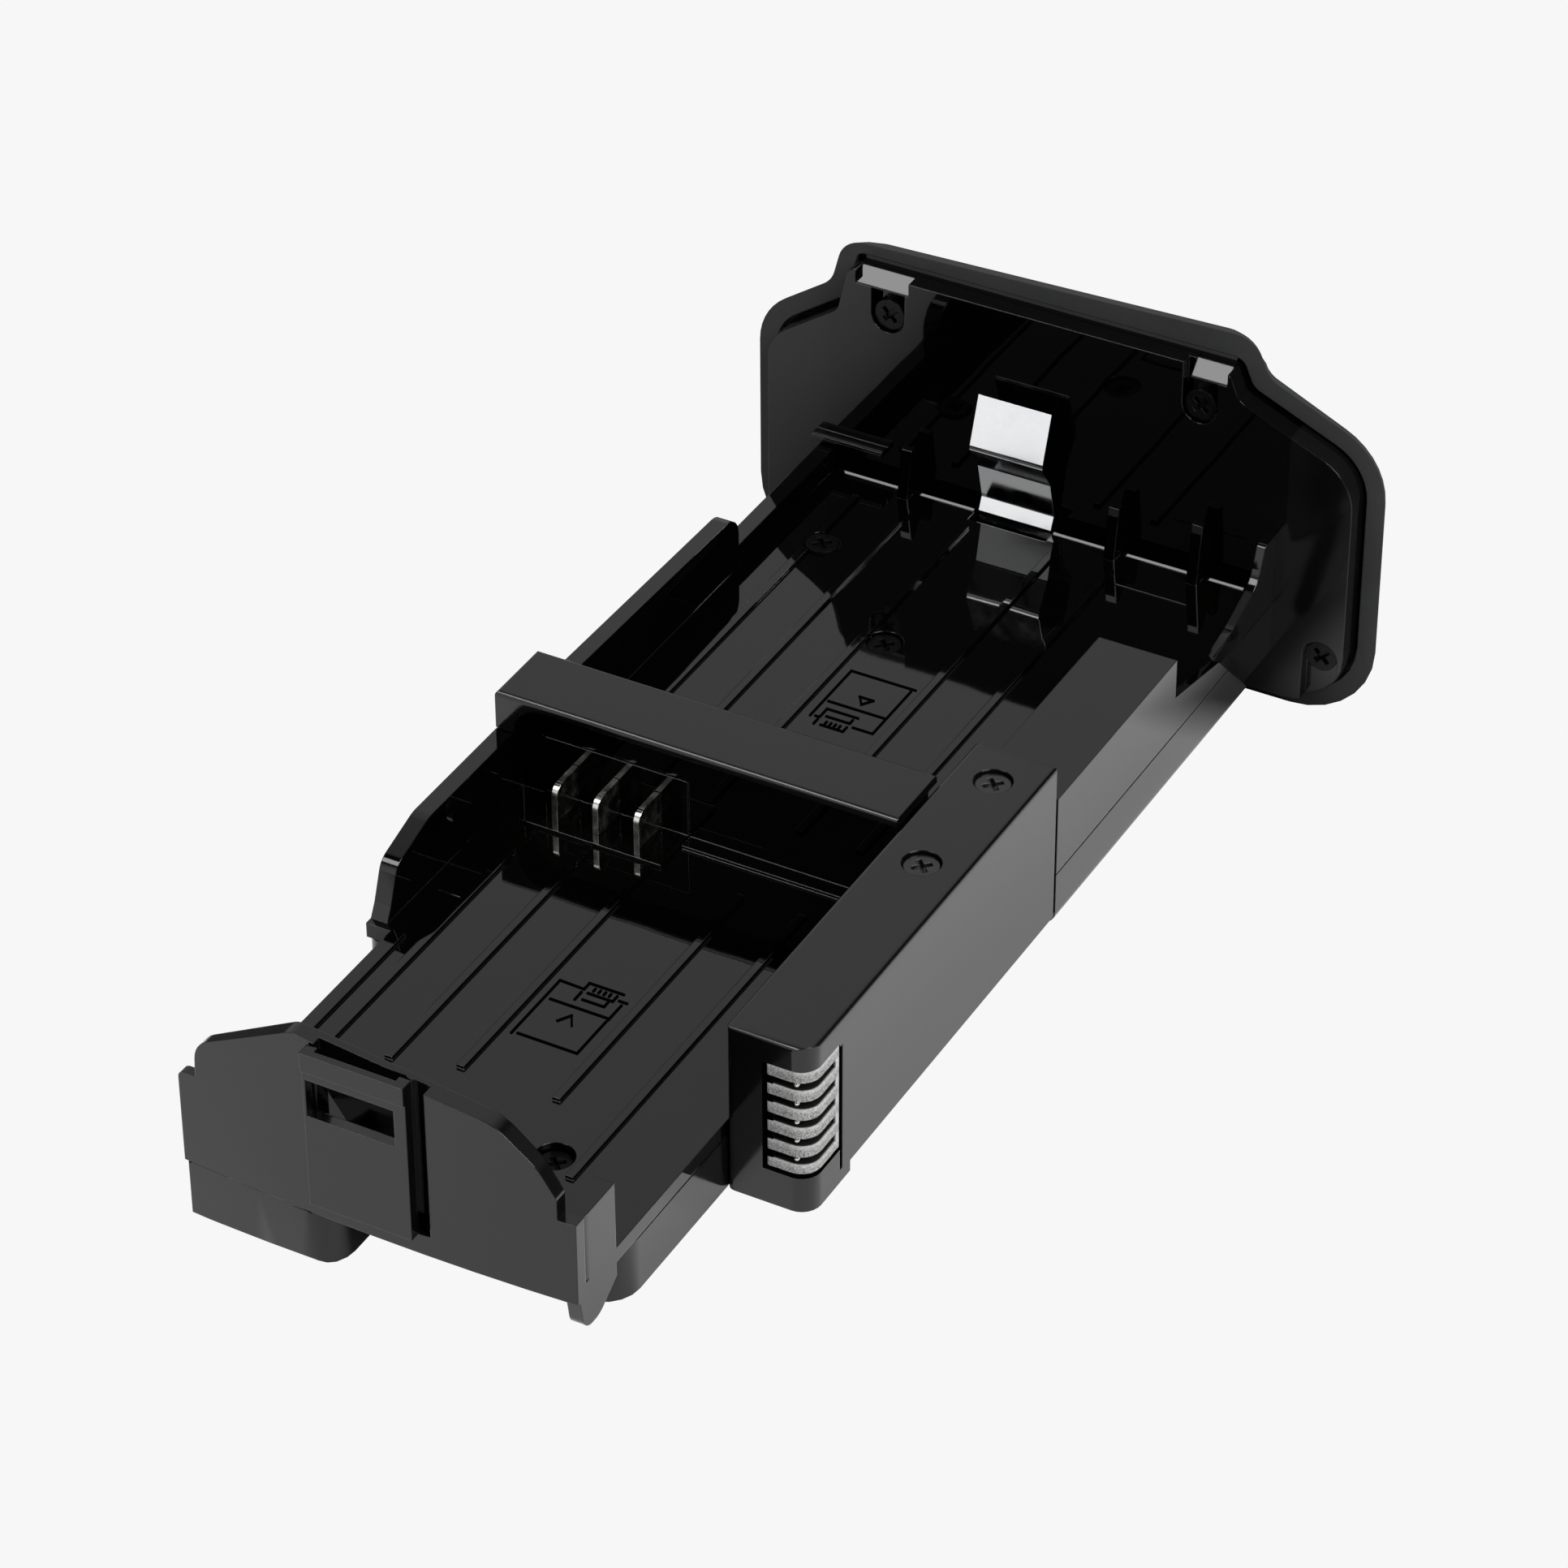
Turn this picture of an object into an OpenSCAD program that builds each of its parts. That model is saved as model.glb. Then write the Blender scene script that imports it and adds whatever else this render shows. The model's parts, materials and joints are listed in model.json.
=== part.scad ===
// Battery magazine of a camera grip: a tray for two camera packs lying end to end, with its end cap.
// X runs along the tray from the near end to the cap, Y to the wing side, Z up from the flat underside.
// The origin lies under the front face of the divider, on the middle line of the tray. Millimetres.

/* [Battery packs] */
// Width of one camera pack
pack_w = 40; // [36:0.5:44]
// Length of one camera pack
pack_l = 56; // [52:0.5:62]
// Room left across the pack in its bay
side_room = 1.6; // [0.8:0.1:3]
// Room left along the pack for its leaf spring
end_room = 2; // [1.6:0.1:3.5]

/* [Tray] */
// Height of the base cover, up to the parting line
base_h = 6; // [5:0.25:9]
// Thickness of the tray floor
floor_t = 1.6; // [1.2:0.1:2.5]
// Thickness of the wings on the left side
wing_t = 1.8; // [1.4:0.1:2.4]
// Height of the wings above the floor
wing_h = 7.1; // [6:0.1:10]
// Height of the low side rails above the floor
rail_h = 2.2; // [1.5:0.1:3.5]
// Height of the guide ribs on the floor
rib_h = 0.35; // [0.2:0.05:0.6]
// Width of a guide rib
rib_w = 0.8; // [0.5:0.1:1.4]
// Length of the divider between the bays
divider_l = 8; // [7:0.25:11]
// Thickness of the divider wall under the bridge
divider_t = 4.6; // [4:0.1:6]
// Height of the divider wall above the floor
divider_h = 10.5; // [9:0.25:14]
// Set-back of the left side at the near end
near_inset = 2.9; // [1:0.1:4]
// Length from the near end to the step in the left side
near_l = 36; // [30:0.5:44]

/* [Front wall] */
// Thickness of the front wall
front_t = 1.9; // [1.6:0.1:2.6]
// Height of the front wall's peak above the floor
front_h = 18.1; // [16:0.25:22]
// How far the middle of the front wall bows out
front_bow = 1; // [0.4:0.1:1.4]
// Width of the spring pocket cover
pocket_w = 10.4; // [9.4:0.2:13]
// Height of the spring pocket cover
pocket_h = 17; // [14:0.25:17.5]
// Thickness of the spring pocket cover
pocket_t = 1.1; // [0.9:0.1:1.6]
// Height of the window in the pocket cover
window_h = 4; // [3:0.25:5]

/* [Contact housing] */
// Width of the contact housing
housing_w = 8.6; // [7.5:0.1:11]
// Radius of the housing's near corner
housing_r = 2; // [0.8:0.1:2.4]
// Height of the contact housing
housing_h = 18.6; // [17:0.1:22]
// Length of the housing before the divider's front face
housing_fwd = 33.4; // [28:0.2:36]
// Length of the housing behind the divider's front face
housing_back = 14.9; // [12:0.1:18]
// Wall of the contact housing cover
housing_t = 1.4; // [1.1:0.1:1.8]
// Length of the rail box behind the housing
rail_box_l = 25.9; // [20:0.1:30]
// Height of the rail box
rail_box_h = 14.7; // [12:0.1:17]

/* [Contacts] */
// Thickness of a contact blade
blade_t = 0.6; // [0.4:0.05:0.9]
// Pitch of the contact blades
blade_pitch = 4.45; // [4:0.05:5]
// Reach of a blade into its bay
blade_l = 4.1; // [3:0.1:5]
// Height of a blade
blade_h = 4; // [3:0.1:5]
// Distance of the contact block's side from the outer blades
block_side = 3.3; // [2.5:0.1:4]
// Distance from the bay's side to the nearest blade
blade_side = 5.9; // [4.5:0.05:8]
// Pitch of the fins on the terminal comb
fin_pitch = 2.1; // [1.9:0.05:2.3]
// Thickness of a comb fin
fin_t = 1.2; // [0.9:0.05:1.4]
// Number of comb fins
fin_count = 6; // [4:1:6]

/* [Leaf springs] */
// Width of the leaf springs
spring_w = 8.2; // [6.5:0.1:9]
// Thickness of the spring strip
spring_t = 0.4; // [0.25:0.05:0.5]

/* [End cap] */
// Width of the end cap
cap_w = 70.4; // [66:0.2:78]
// Height of the end cap
cap_h = 41.7; // [38:0.1:46]
// How far the end cap reaches below the tray
cap_drop = 7.5; // [5:0.25:9]
// Depth of the cap shell
cap_d = 8; // [7.6:0.1:11]
// Width of the cap shell's rim
cap_t = 2; // [1.2:0.1:2.4]
// Width of the groove between the shell and the inner plate
groove_w = 0.4; // [0.3:0.05:0.7]
// How far the inner plate stands proud of the shell's rim
plate_proud = 2.7; // [2.5:0.1:3.5]
// Skin of the inner plate
plate_t = 1; // [0.8:0.05:1.1]

/* [Release knob] */
// Diameter of the release knob
knob_d = 23; // [20:0.5:26]
// Depth of the well that the knob turns in
well_d = 3; // [2.6:0.1:3.2]
// Diameter of the knob's shaft
shaft_d = 6; // [5:0.25:8]
// Diameter of the handle's hinge pin
pin_d = 1; // [0.8:0.1:1.1]
// Thickness of the fold-out handle
handle_t = 2; // [1.8:0.1:2.2]
// Travel of the latch
latch_travel = 2.2; // [1.6:0.1:2.4]

/* [Screws] */
// Diameter of a screw head
head_d = 3.4; // [3:0.1:3.8]
// Height of a screw head
head_h = 0.9; // [0.7:0.05:1.2]
// Diameter of a screw shank
shank_d = 1.8; // [1.5:0.1:2]

/* [Clearances] */
// Gap between fixed pieces that do not press together
gap = 0.2; // [0.15:0.05:0.3]
// Radial running clearance of the shaft and the pin
run = 0.05; // [0.03:0.01:0.08]
// Gap round pieces that slide or swing
slide_gap = 0.3; // [0.25:0.05:0.4]

/* [Hidden] */
$fn = 48;
eps = 0.01;

bay_w = pack_w + side_room;
bay_l = pack_l + end_room;
y_left = (wing_t + bay_w + housing_w) / 2;
y_right = -y_left;
y_bay_l = y_left - wing_t;
y_bay_r = y_bay_l - bay_w;
bay_mid = (y_bay_l + y_bay_r) / 2;
y_near = y_left - near_inset;
z_floor = base_h + floor_t;
x_front_in = -bay_l;
x_front = x_front_in - front_t;
x_step = x_front + near_l;
x_plate = divider_l + bay_l;
x_rim = x_plate + plate_proud;
x_outer = x_rim + cap_d;

// Divider and its wall
wall_x0 = (divider_l - divider_t) / 2 - 0.05;
wall_x1 = wall_x0 + divider_t;
z_wall = z_floor + divider_h;
bridge_t = 0.9;
z_bridge = z_wall + bridge_t;
bridge_gap = 0.5;
block_w = 2 * (blade_pitch + block_side);
blade_off = bay_w / 2 - blade_side - blade_pitch;
block_h = 6.6;

// Near end
foot_w = 15.9;
foot_back = 7.5;
post_t = 2.2;
post_l = 7.1;
post_drop = 3.6;
post_set = 0.6;
z_post = z_floor + 7.3;

// Contact housing and rails
x_h0 = -housing_fwd;
x_h1 = housing_back;
skirt_z = 1.2;
rail_t = 1.6;
x_box1 = x_h1 + rail_box_l;
ledge_z = z_floor + rail_h;
slant_top = x_plate - 15.2;
slant_z = z_floor + 0.7;
slant_low = x_plate - 7;
wing_end = x_plate - 21.8;
neck_inset = 1.1;
skin_t = 0.9;
floor_gap = 1.5;
x_floor = x_plate - floor_gap;
gusset_l = 3.2;
gusset_t = 1.2;
base_t = 1.5;

// Terminal comb at the near right corner of the housing
comb_x = 5.4;
comb_y = 4.7;
comb_h = fin_pitch * (fin_count - 1) + fin_t;
comb_z = 4.2;
comb_back = 1.6;
contact_t = 0.5;
x_under = x_h0 + comb_x + gap;

// Spring pocket
pocket_z = z_floor + 0.6;
window_w = pocket_w - 1.5;
window_y = bay_mid + 0.45;
window_z = pocket_z + pocket_h - window_h - 3;
well_w = spring_w + 2 * slide_gap + 0.4;

// Leaf springs: height of the pivot line and the profile's bends
rear_pivot = [x_plate - floor_gap / 2, z_floor - 1.5];
front_pivot = [x_front + 0.45, z_floor + 16];

// Cap outline: shoulders, neck and corners
cap_z0 = -cap_drop;
cap_z1 = cap_h - cap_drop;
shoulder_l = cap_z1 - 12.7;
shoulder_r = cap_z1 - 9.9;
shoulder_rise = 5.8;
neck_l = 25.4;
neck_r = 20.6;
neck_flare = 1.4;
top_fall = 1.6;
rim_top = 0.7;
dome_in = 8.2;
knob_y = 0;
knob_z = (cap_z0 + cap_z1) / 2;
screw_top_z = cap_z1 - 7.5;
screw_low_z = cap_z0 + 8.4;
dome = [[0, 0], [0.15, 0.06], [0.325, 0.16], [0.5, 0.3], [0.69, 0.49], [0.86, 0.73], [1, 1]];
cap_screw_at = [[18.9, screw_top_z], [-15.9, screw_top_z - 0.3], [cap_w / 2 - 4.9, screw_low_z],
                [-cap_w / 2 + 4.9, screw_low_z]];
boss_d = 4.6;

// Release knob and latch
knob_r = knob_d / 2;
shaft_r = shaft_d / 2;
x_well = x_outer - well_d;
x_knob0 = x_well + gap;
x_knob1 = x_outer + handle_t + slide_gap;
barrel_r = handle_t / 2;
x_pin = x_knob1 - barrel_r;
handle_r = knob_r - 1.3;
ear_w = 2.6;
x_cam0 = x_rim + gap;
cam_t = 1.5;
cam_r = 4.6;
cam_pin_r = 1;
cam_throw = latch_travel / sqrt(2);
slide_t = plate_proud - plate_t - 0.4;
x_slide0 = x_plate + plate_t + 0.1;
leg_w = 5;
leg_y = 12;
edge_in = cap_t + groove_w;
skirt_t = 1.8;

// Screws
floor_screw_at = [[-44.7, -6.5, 1.4], [39.2, 5, 0.9], [51.4, 18.6, 0.3]];
housing_screw_at = [-4.3, 10];
y_housing = (y_right + y_bay_r) / 2;
end_screw_at = [-19, 19];
end_screw_z = 3.4;

// Small edge rounds and the reveal along the parting line
edge_r = 0.5;
foot_r = 1.3;
parting_h = 0.15;
parting_d = 0.25;

black = [0.10, 0.105, 0.11];
satin = [0.16, 0.165, 0.17];

function unit(v) = v / norm(v);

// One corner p of an outline, rounded to radius r with n steps; r = 0 leaves it sharp
function corner(a, p, b, r, n) =
    r <= 0 ? [p] :
    let (u = unit(a - p), v = unit(b - p), h = acos(u * v) / 2, c = p + unit(u + v) * r / sin(h),
         s = p + u * r / tan(h) - c, e = p + v * r / tan(h) - c,
         a0 = atan2(s[1], s[0]), d = atan2(e[1], e[0]) - a0,
         sweep = d > 180 ? d - 360 : d < -180 ? d + 360 : d)
    [for (i = [0:n]) c + r * [cos(a0 + sweep * i / n), sin(a0 + sweep * i / n)]];

// A closed outline from [x, y, radius] corners
function rounded(c, n = 6) =
    let (m = len(c), p = [for (q = c) [q[0], q[1]]])
    [for (i = [0:m - 1]) each corner(p[(i + m - 1) % m], p[i], p[(i + 1) % m], c[i][2], n)];

// Corner p of an outline that runs anticlockwise, drawn in by d, with its radius
function drawn_in(a, p, b, r, d) =
    let (u = unit(p - a), v = unit(b - p), n = [-u[1], u[0]], m = [-v[1], v[0]],
         q = p + (n + m) * d / (1 + n * m))
    [q[0], q[1],
     d == 0 || r == 0 ? r : cross(u, v) > 0 ? max(r - d, min(r, 0.9)) : max(r - d / 2, min(r, 1.2))];
function inset(c, d) =
    let (m = len(c), p = [for (q = c) [q[0], q[1]]])
    [for (i = [0:m - 1]) drawn_in(p[(i + m - 1) % m], p[i], p[(i + 1) % m], c[i][2], d)];

// A strip of thickness t along an open path of [x, z, radius] bends
function path_pts(c, n = 6) =
    let (m = len(c), p = [for (q = c) [q[0], q[1]]])
    [p[0], for (i = [1:m - 2]) each corner(p[i - 1], p[i], p[i + 1], c[i][2], n), p[m - 1]];
function side(p, t) =
    let (m = len(p))
    [for (i = [0:m - 1])
        let (d = unit(p[min(i + 1, m - 1)] - p[max(i - 1, 0)]))
        p[i] + t * [-d[1], d[0]]];
function strip(p, t) = concat(side(p, t / 2), [for (q = [len(p) - 1:-1:0]) side(p, -t / 2)[q]]);

// Upright rectangle with its two top corners rounded
function topped(a0, a1, z0, z1) =
    rounded([[a0, z0, 0], [a1, z0, 0], [a1, z1, edge_r], [a0, z1, edge_r]], 4);

// Solid of an outline in X and Z, from y0 to y1
module along_y(pts, y0, y1) {
    translate([0, y1, 0]) rotate([90, 0, 0]) linear_extrude(y1 - y0) polygon(pts);
}

// Solid of an outline in Y and Z, from x0 to x1
module along_x(pts, x0, x1) {
    translate([x0, 0, 0]) rotate([90, 0, 90]) linear_extrude(x1 - x0) polygon(pts);
}

module box(lo, hi) {
    translate(lo) cube(hi - lo);
}

// A round bar or hole along X
module rod_x(x0, x1, y, z, r) {
    translate([x0, y, z]) rotate([0, 90, 0]) cylinder(r = r, h = x1 - x0);
}

// Cross recess of a screw head whose face points along +Z at the origin
module cross_recess(depth) {
    for (a = [45, 135])
        rotate([0, 0, a]) translate([-head_d * 0.3, -0.28, -depth]) cube([head_d * 0.6, 0.56, depth + eps]);
}

// A screw with its head's face at the origin, pointing along +Z
module screw(length) {
    difference() {
        union() {
            translate([0, 0, -head_h]) cylinder(d = head_d, h = head_h);
            translate([0, 0, -length]) cylinder(d = shank_d, h = length - head_h + eps);
        }
        cross_recess(0.6);
    }
}

// Clear hole for such a screw, with its seat for the head
module screw_hole(length, above = 3) {
    translate([0, 0, -head_h]) cylinder(d = head_d + 2 * gap, h = head_h + above);
    translate([0, 0, -length - gap]) cylinder(d = shank_d + 0.1, h = length);
}

// Outline of the end cap in Y and Z, drawn in by d all round and lowered at the top by drop
function cap_corners(drop) = [
    [cap_w / 2, cap_z0, 9], [cap_w / 2, shoulder_l, 7],
    [neck_l + neck_flare, shoulder_l + shoulder_rise, 3],
    [neck_l, cap_z1 - (drop > 0 ? drop : top_fall), 3], [-neck_r, cap_z1 - drop, 3.4],
    [-neck_r - neck_flare, shoulder_r + shoulder_rise, 3], [-cap_w / 2, shoulder_r, 8],
    [-cap_w / 2, cap_z0, 9]];
function cap_outline(d, drop = 0) = rounded(inset(cap_corners(drop), d), 7);

// Outline of the cap's flat outer face: the same eight corners with the neck faded out
back_outline = rounded([
    [cap_w / 2 - dome_in, cap_z0 + dome_in, 4], [cap_w / 2 - dome_in, shoulder_l - 4, 5],
    [neck_l - 5, shoulder_l + 2.6, 6],
    [neck_l - 11, cap_z1 - dome_in, 3], [-neck_r + 12, cap_z1 - dome_in, 3],
    [-neck_r + 5.5, shoulder_r - 1.6, 6],
    [-cap_w / 2 + dome_in, shoulder_r - 8.4, 5], [-cap_w / 2 + dome_in, cap_z0 + dome_in, 4]], 7);

// Domed solid between the two outlines; each station of the dome is [share of depth, share of the way in]
module cap_dome() {
    rim = cap_outline(0);
    m = len(rim);
    k = len(dome);
    points = [for (t = dome) for (j = [0:m - 1])
        let (q = rim[j] * (1 - t[1]) + back_outline[j] * t[1]) [x_rim + t[0] * cap_d, q[0], q[1]]];
    skin = [for (i = [0:k - 2]) for (j = [0:m - 1])
        let (a = i * m + j, b = i * m + (j + 1) % m)
        each [[a, a + m, b + m], [a, b + m, b]]];
    polyhedron(points, concat([[for (j = [0:m - 1]) j]], skin, [[for (j = [m - 1:-1:0]) (k - 1) * m + j]]));
}

// Plan of the body below the floor; in_y draws the right side in under the housing's skirt
function plan(x0, in_y) = [
    [x0, y_near], [x_step, y_near], [x_step, y_left], [x_plate, y_left], [x_plate, y_right + neck_inset],
    [slant_low, y_right + neck_inset], [slant_low, y_right], [x_h1 + gap, y_right],
    [x_h1 + gap, y_right + in_y], [x_under, y_right + in_y], [x_under, y_bay_r], [x0, y_bay_r]];

// The slanted end of the right side, seen along Y
module slant_cut() {
    along_y([[slant_top, ledge_z + 6], [slant_top, slant_z], [slant_low, 0], [slant_low, -1],
             [slant_low + 9, -1], [slant_low + 9, ledge_z + 6]], y_right - 1, y_right + neck_inset);
}

// The front wall's outline in Y and Z, with the near post's step at its right end
function front_outline() = rounded([
    [y_near, base_h, 0], [y_near, z_floor + 8.6, 0.8], [y_near - 1.9, z_floor + 8.6, 0],
    [y_near - 2.1, z_floor + 12.4, 3], [y_near - 10.2, z_floor + front_h - 1.3, 4],
    [y_near - 12.6, z_floor + front_h, 2], [y_bay_r + 7.6, z_floor + front_h - 2.4, 5],
    [y_bay_r + 3.6, z_floor + 12.4, 5], [y_bay_r + post_t - 0.4, z_floor + 9.6, 0.6],
    [y_bay_r + post_t - 0.4, z_post, 0], [y_bay_r, z_post, 0], [y_bay_r, base_h, 0]]);

// Round solid whose edge is the bowed front of the tray
module bowed(z0, z1) {
    bow_r = (y_near * y_near + front_bow * front_bow) / (2 * front_bow);
    translate([x_front + bow_r, 0, z0]) cylinder(r = bow_r, h = z1 - z0, $fn = 360);
}

module front_wall() {
    intersection() {
        along_x(front_outline(), x_front - 1, x_front_in);
        bowed(base_h - 1, z_floor + front_h + 1);
    }
}

// Post at the near right corner, with a rounded front edge and a foot below the wall
module near_post() {
    translate([0, 0, base_h]) linear_extrude(z_post - base_h) polygon(rounded([
        [x_front + post_set, y_bay_r, 2], [x_front + post_l, y_bay_r, 0],
        [x_front + post_l, y_bay_r + post_t, 0],
        [x_front_in, y_bay_r + post_t, 0], [x_front_in, y_bay_r + post_t + 0.6, 0],
        [x_front + post_set, y_bay_r + post_t + 0.6, 0]]));
    along_y(rounded([
        [x_front + post_set + 0.3, base_h, 0], [x_front + post_set + 0.9, base_h - post_drop, 1.6],
        [x_front + post_l - 3, base_h - post_drop, 2.4], [x_front + post_l, base_h - 1.5, 0],
        [x_front + post_l, base_h + eps, 0], [x_front + post_set + 0.3, base_h + eps, 0]]), y_bay_r,
        y_bay_r + 1.4);
}

// Left side with its two wings and the low rail, seen along Y
function left_side() = rounded([
    [x_step, base_h, 0], [x_step + 1.6, z_floor + 1.4, 2], [x_step + 3, z_floor + wing_h - 1.8, 2],
    [x_step + 8.8, z_floor + wing_h, 4], [divider_l + 4, z_floor + wing_h, 0],
    [wing_end, z_floor + wing_h - 0.8, 2.4],
    [wing_end, ledge_z + 0.3, 0], [x_plate, ledge_z + 0.3, 0], [x_plate, base_h, 0]]);

// Guide ribs: side of the bay and where each starts in the near bay
rib_at = [[19.7, 12], [13.6, 19.9], [7.2, 21.8], [-2.7, 21.9], [-9.2, 13.1]];

module guide_ribs() {
    for (r = rib_at) {
        box([x_front + r[1], r[0] - rib_w / 2, z_floor - eps], [-4, r[0] + rib_w / 2, z_floor + rib_h]);
        box([divider_l + 4, r[0] - rib_w / 2, z_floor - eps],
            [x_floor - 3.5, r[0] + rib_w / 2, z_floor + rib_h]);
    }
    box([x_front_in, y_near - 1.4, z_floor - eps], [x_step, y_near, z_floor + rib_h]);
}

module divider_wall() {
    difference() {
        box([wall_x0, y_bay_r + bridge_gap, z_floor - eps], [wall_x1, y_bay_l + eps, z_wall]);
        // seats of the two contact blocks
        box([wall_x0 - 1, bay_mid + blade_off - block_w / 2 - gap / 2, z_floor - 1],
            [wall_x0 + divider_t / 2, bay_mid + blade_off + block_w / 2 + gap / 2,
             z_floor + block_h + gap]);
        box([wall_x0 + divider_t / 2, bay_mid - blade_off - block_w / 2 - gap / 2, z_floor - 1],
            [wall_x1 + 1, bay_mid - blade_off + block_w / 2 + gap / 2, z_floor + block_h + gap]);
    }
    box([0, y_bay_r, z_floor - eps], [wall_x0, bay_mid + blade_off - block_w / 2 - gap, z_floor + rib_h]);
    box([wall_x1, bay_mid - blade_off + block_w / 2 + gap, z_floor - eps],
        [divider_l, y_bay_l, z_floor + rib_h]);
}

module rail_box() {
    difference() {
        box([x_h1 + gap, y_right, base_h], [x_box1, y_bay_r - 0.2, rail_box_h]);
        box([x_h1 + gap + rail_t, y_right + rail_t, base_h - 1],
            [x_box1 - rail_t, y_bay_r - 0.2 - rail_t, rail_box_h - rail_t]);
    }
}

// Upright gussets that stop the pack short of the cap
gusset_at = [[15.4, 5.4], [-8.1, 5.7], [-17.3, 6.5]];

module gussets() {
    for (g = gusset_at)
        along_y([[x_plate - gusset_l, z_floor - eps], [x_plate - gusset_l + 0.9, z_floor + g[1]],
                 [x_plate - gusset_l + 1.7, z_floor + g[1]], [x_plate, z_floor + g[1] - 2.2],
                 [x_plate, base_h],
                 [x_plate - gusset_l, base_h]], g[0] - gusset_t / 2, g[0] + gusset_t / 2);
    // side wall of the neck, which sweeps up to the cap
    along_y(rounded([
        [x_plate - 16, z_floor - 0.5, 0], [x_plate, z_floor - 0.5, 0], [x_plate, z_floor + 6.6, 0],
        [x_plate - 2.6, z_floor + 6.6, 0.6], [x_plate - 4, z_floor + 3, 3],
        [x_plate - 9.5, z_floor + 0.9, 6]], 8),
        y_right + neck_inset, y_right + neck_inset + skin_t);
}

module tray_body() color(black) {
    difference() {
        union() {
            difference() {
                translate([0, 0, base_h]) linear_extrude(floor_t) polygon(plan(x_front_in - eps, rail_t));
                // gap between the floor's end and the cap, for the rear spring
                box([x_floor, y_right + neck_inset + 1.2, base_h - 1], [x_plate + 1, y_bay_l, z_floor + 1]);
            }
            along_y(left_side(), y_bay_l, y_left);
            front_wall();
            near_post();
            guide_ribs();
            divider_wall();
            rail_box();
            // low wall of the right side behind the rail box
            along_y([[x_box1 - eps, base_h], [slant_low, base_h], [slant_top, slant_z],
                     [x_box1 - eps, ledge_z + 0.5]],
                    y_right, y_right + skin_t);
            gussets();
            // blocks under the floor that the cap's plate is screwed to
            for (y = end_screw_at)
                box([x_floor - 7, y - 3, base_t + gap], [x_plate, y + 3, base_h + eps]);
        }
        slant_cut();
        // spring well through the front wall, and the slot above it
        box([x_front - 2, bay_mid - well_w / 2, pocket_z + 0.8],
            [x_front_in + 1, bay_mid + well_w / 2, front_pivot[1] - 1.6]);
        box([x_front - 2, bay_mid - well_w / 2, front_pivot[1] - 2],
            [x_front + 1.1, bay_mid + well_w / 2, pocket_z + pocket_h + 3]);
        // deep channel beside the pocket cover
        box([x_front - 2, bay_mid - pocket_w / 2 - 1.2, pocket_z],
            [x_front + 1.3, bay_mid - pocket_w / 2 + 0.5, pocket_z + pocket_h + 3]);
        for (s = floor_screw_at)
            translate([s[0], s[1], z_floor - s[2] + 0.6]) screw_hole(5);
        for (y = end_screw_at)
            rod_x(x_plate - 6, x_plate + 1, y, end_screw_z, shank_d / 2 + 0.05);
        // notch in the floor's end for the rear spring
        box([x_floor - 1.8, bay_mid - spring_w / 2 - slide_gap, base_h - 1],
            [x_floor + 1, bay_mid + spring_w / 2 + slide_gap, z_floor + 1]);
        // channel of the bus strips, with openings up into the divider and the housing
        box([wall_x0 + 1, y_right + rail_t + 1.2, base_h - 1],
            [wall_x1 - 1, bay_mid + blade_off + 6, base_h + 0.6]);
        box([wall_x0 + 1, bay_mid - blade_off - 6, base_h - 1],
            [wall_x1 - 1, bay_mid + blade_off + 6, z_floor + 0.5]);
        box([wall_x0 + 1, y_right + rail_t + 1.2, base_h - 1], [wall_x1 - 1, y_bay_r - 1, z_floor + 1]);
        for (x = housing_screw_at)
            translate([x, y_housing, base_h - 1]) cylinder(d = shank_d + 0.1, h = 4);
    }
}

module base_cover() color(black) {
    difference() {
        union() {
            difference() {
                intersection() {
                    linear_extrude(base_h) polygon(rounded(base_plan(slant_low), 5));
                    bowed(-1, base_h + 1);
                    along_y(rounded([[x_front, 0, foot_r], [x_plate, 0, 0], [x_plate, base_h, 0],
                                     [x_front, base_h, 0]], 4),
                            y_right, y_left);
                    along_x(rounded([[y_right, 0, foot_r], [y_left, 0, foot_r], [y_left, base_h, 0],
                                     [y_right, base_h, 0]], 4),
                            x_front - 1, x_plate);
                }
                // reveal along the parting line
                difference() {
                    box([x_front - 1, y_right - 1, base_h - parting_h],
                        [x_plate - parting_d, y_left + 1, base_h + 1]);
                    linear_extrude(base_h + 2) polygon(rounded(inset(base_plan(slant_low), parting_d), 5));
                }
                translate([0, 0, base_t]) linear_extrude(base_h)
                    polygon(rounded(inset(base_plan(slant_top), base_t), 5));
                slant_cut();
            }
            for (s = floor_screw_at)
                translate([s[0], s[1], 0.5]) cylinder(d = boss_d, h = base_h - 0.5);
        }
        for (s = floor_screw_at)
            translate([s[0], s[1], z_floor - s[2] + 0.6]) screw_hole(5);
        // room for the tray's end blocks
        for (y = end_screw_at)
            box([x_floor - 7 - gap, y - 3 - gap, base_t], [x_plate + 1, y + 3 + gap, base_h + 1]);
        // room for the foot of the rear spring
        box([x_plate - floor_gap, bay_mid - spring_w / 2 - slide_gap, base_t],
            [x_plate + 1, bay_mid + spring_w / 2 + slide_gap, base_h + 1]);
    }
}

// Plan of the base cover as [x, y, radius] corners, anticlockwise; xs is where its right side ends
function base_plan(xs) = [
    [x_front, y_near - foot_w, 3.4], [x_front + foot_back, y_near - foot_w, 0],
    [x_front + foot_back, y_bay_r, 3.5], [x_under, y_bay_r, 0], [x_under, y_right + rail_t, 0],
    [x_h1 + gap, y_right + rail_t, 0], [x_h1 + gap, y_right, 0],
    [xs, y_right, 0], [xs, y_right + neck_inset, 0], [x_plate, y_right + neck_inset, 0],
    [x_plate, y_left, 0],
    [x_step, y_left, 1.2], [x_step, y_near, 0], [x_front, y_near, 2.2]];

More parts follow.
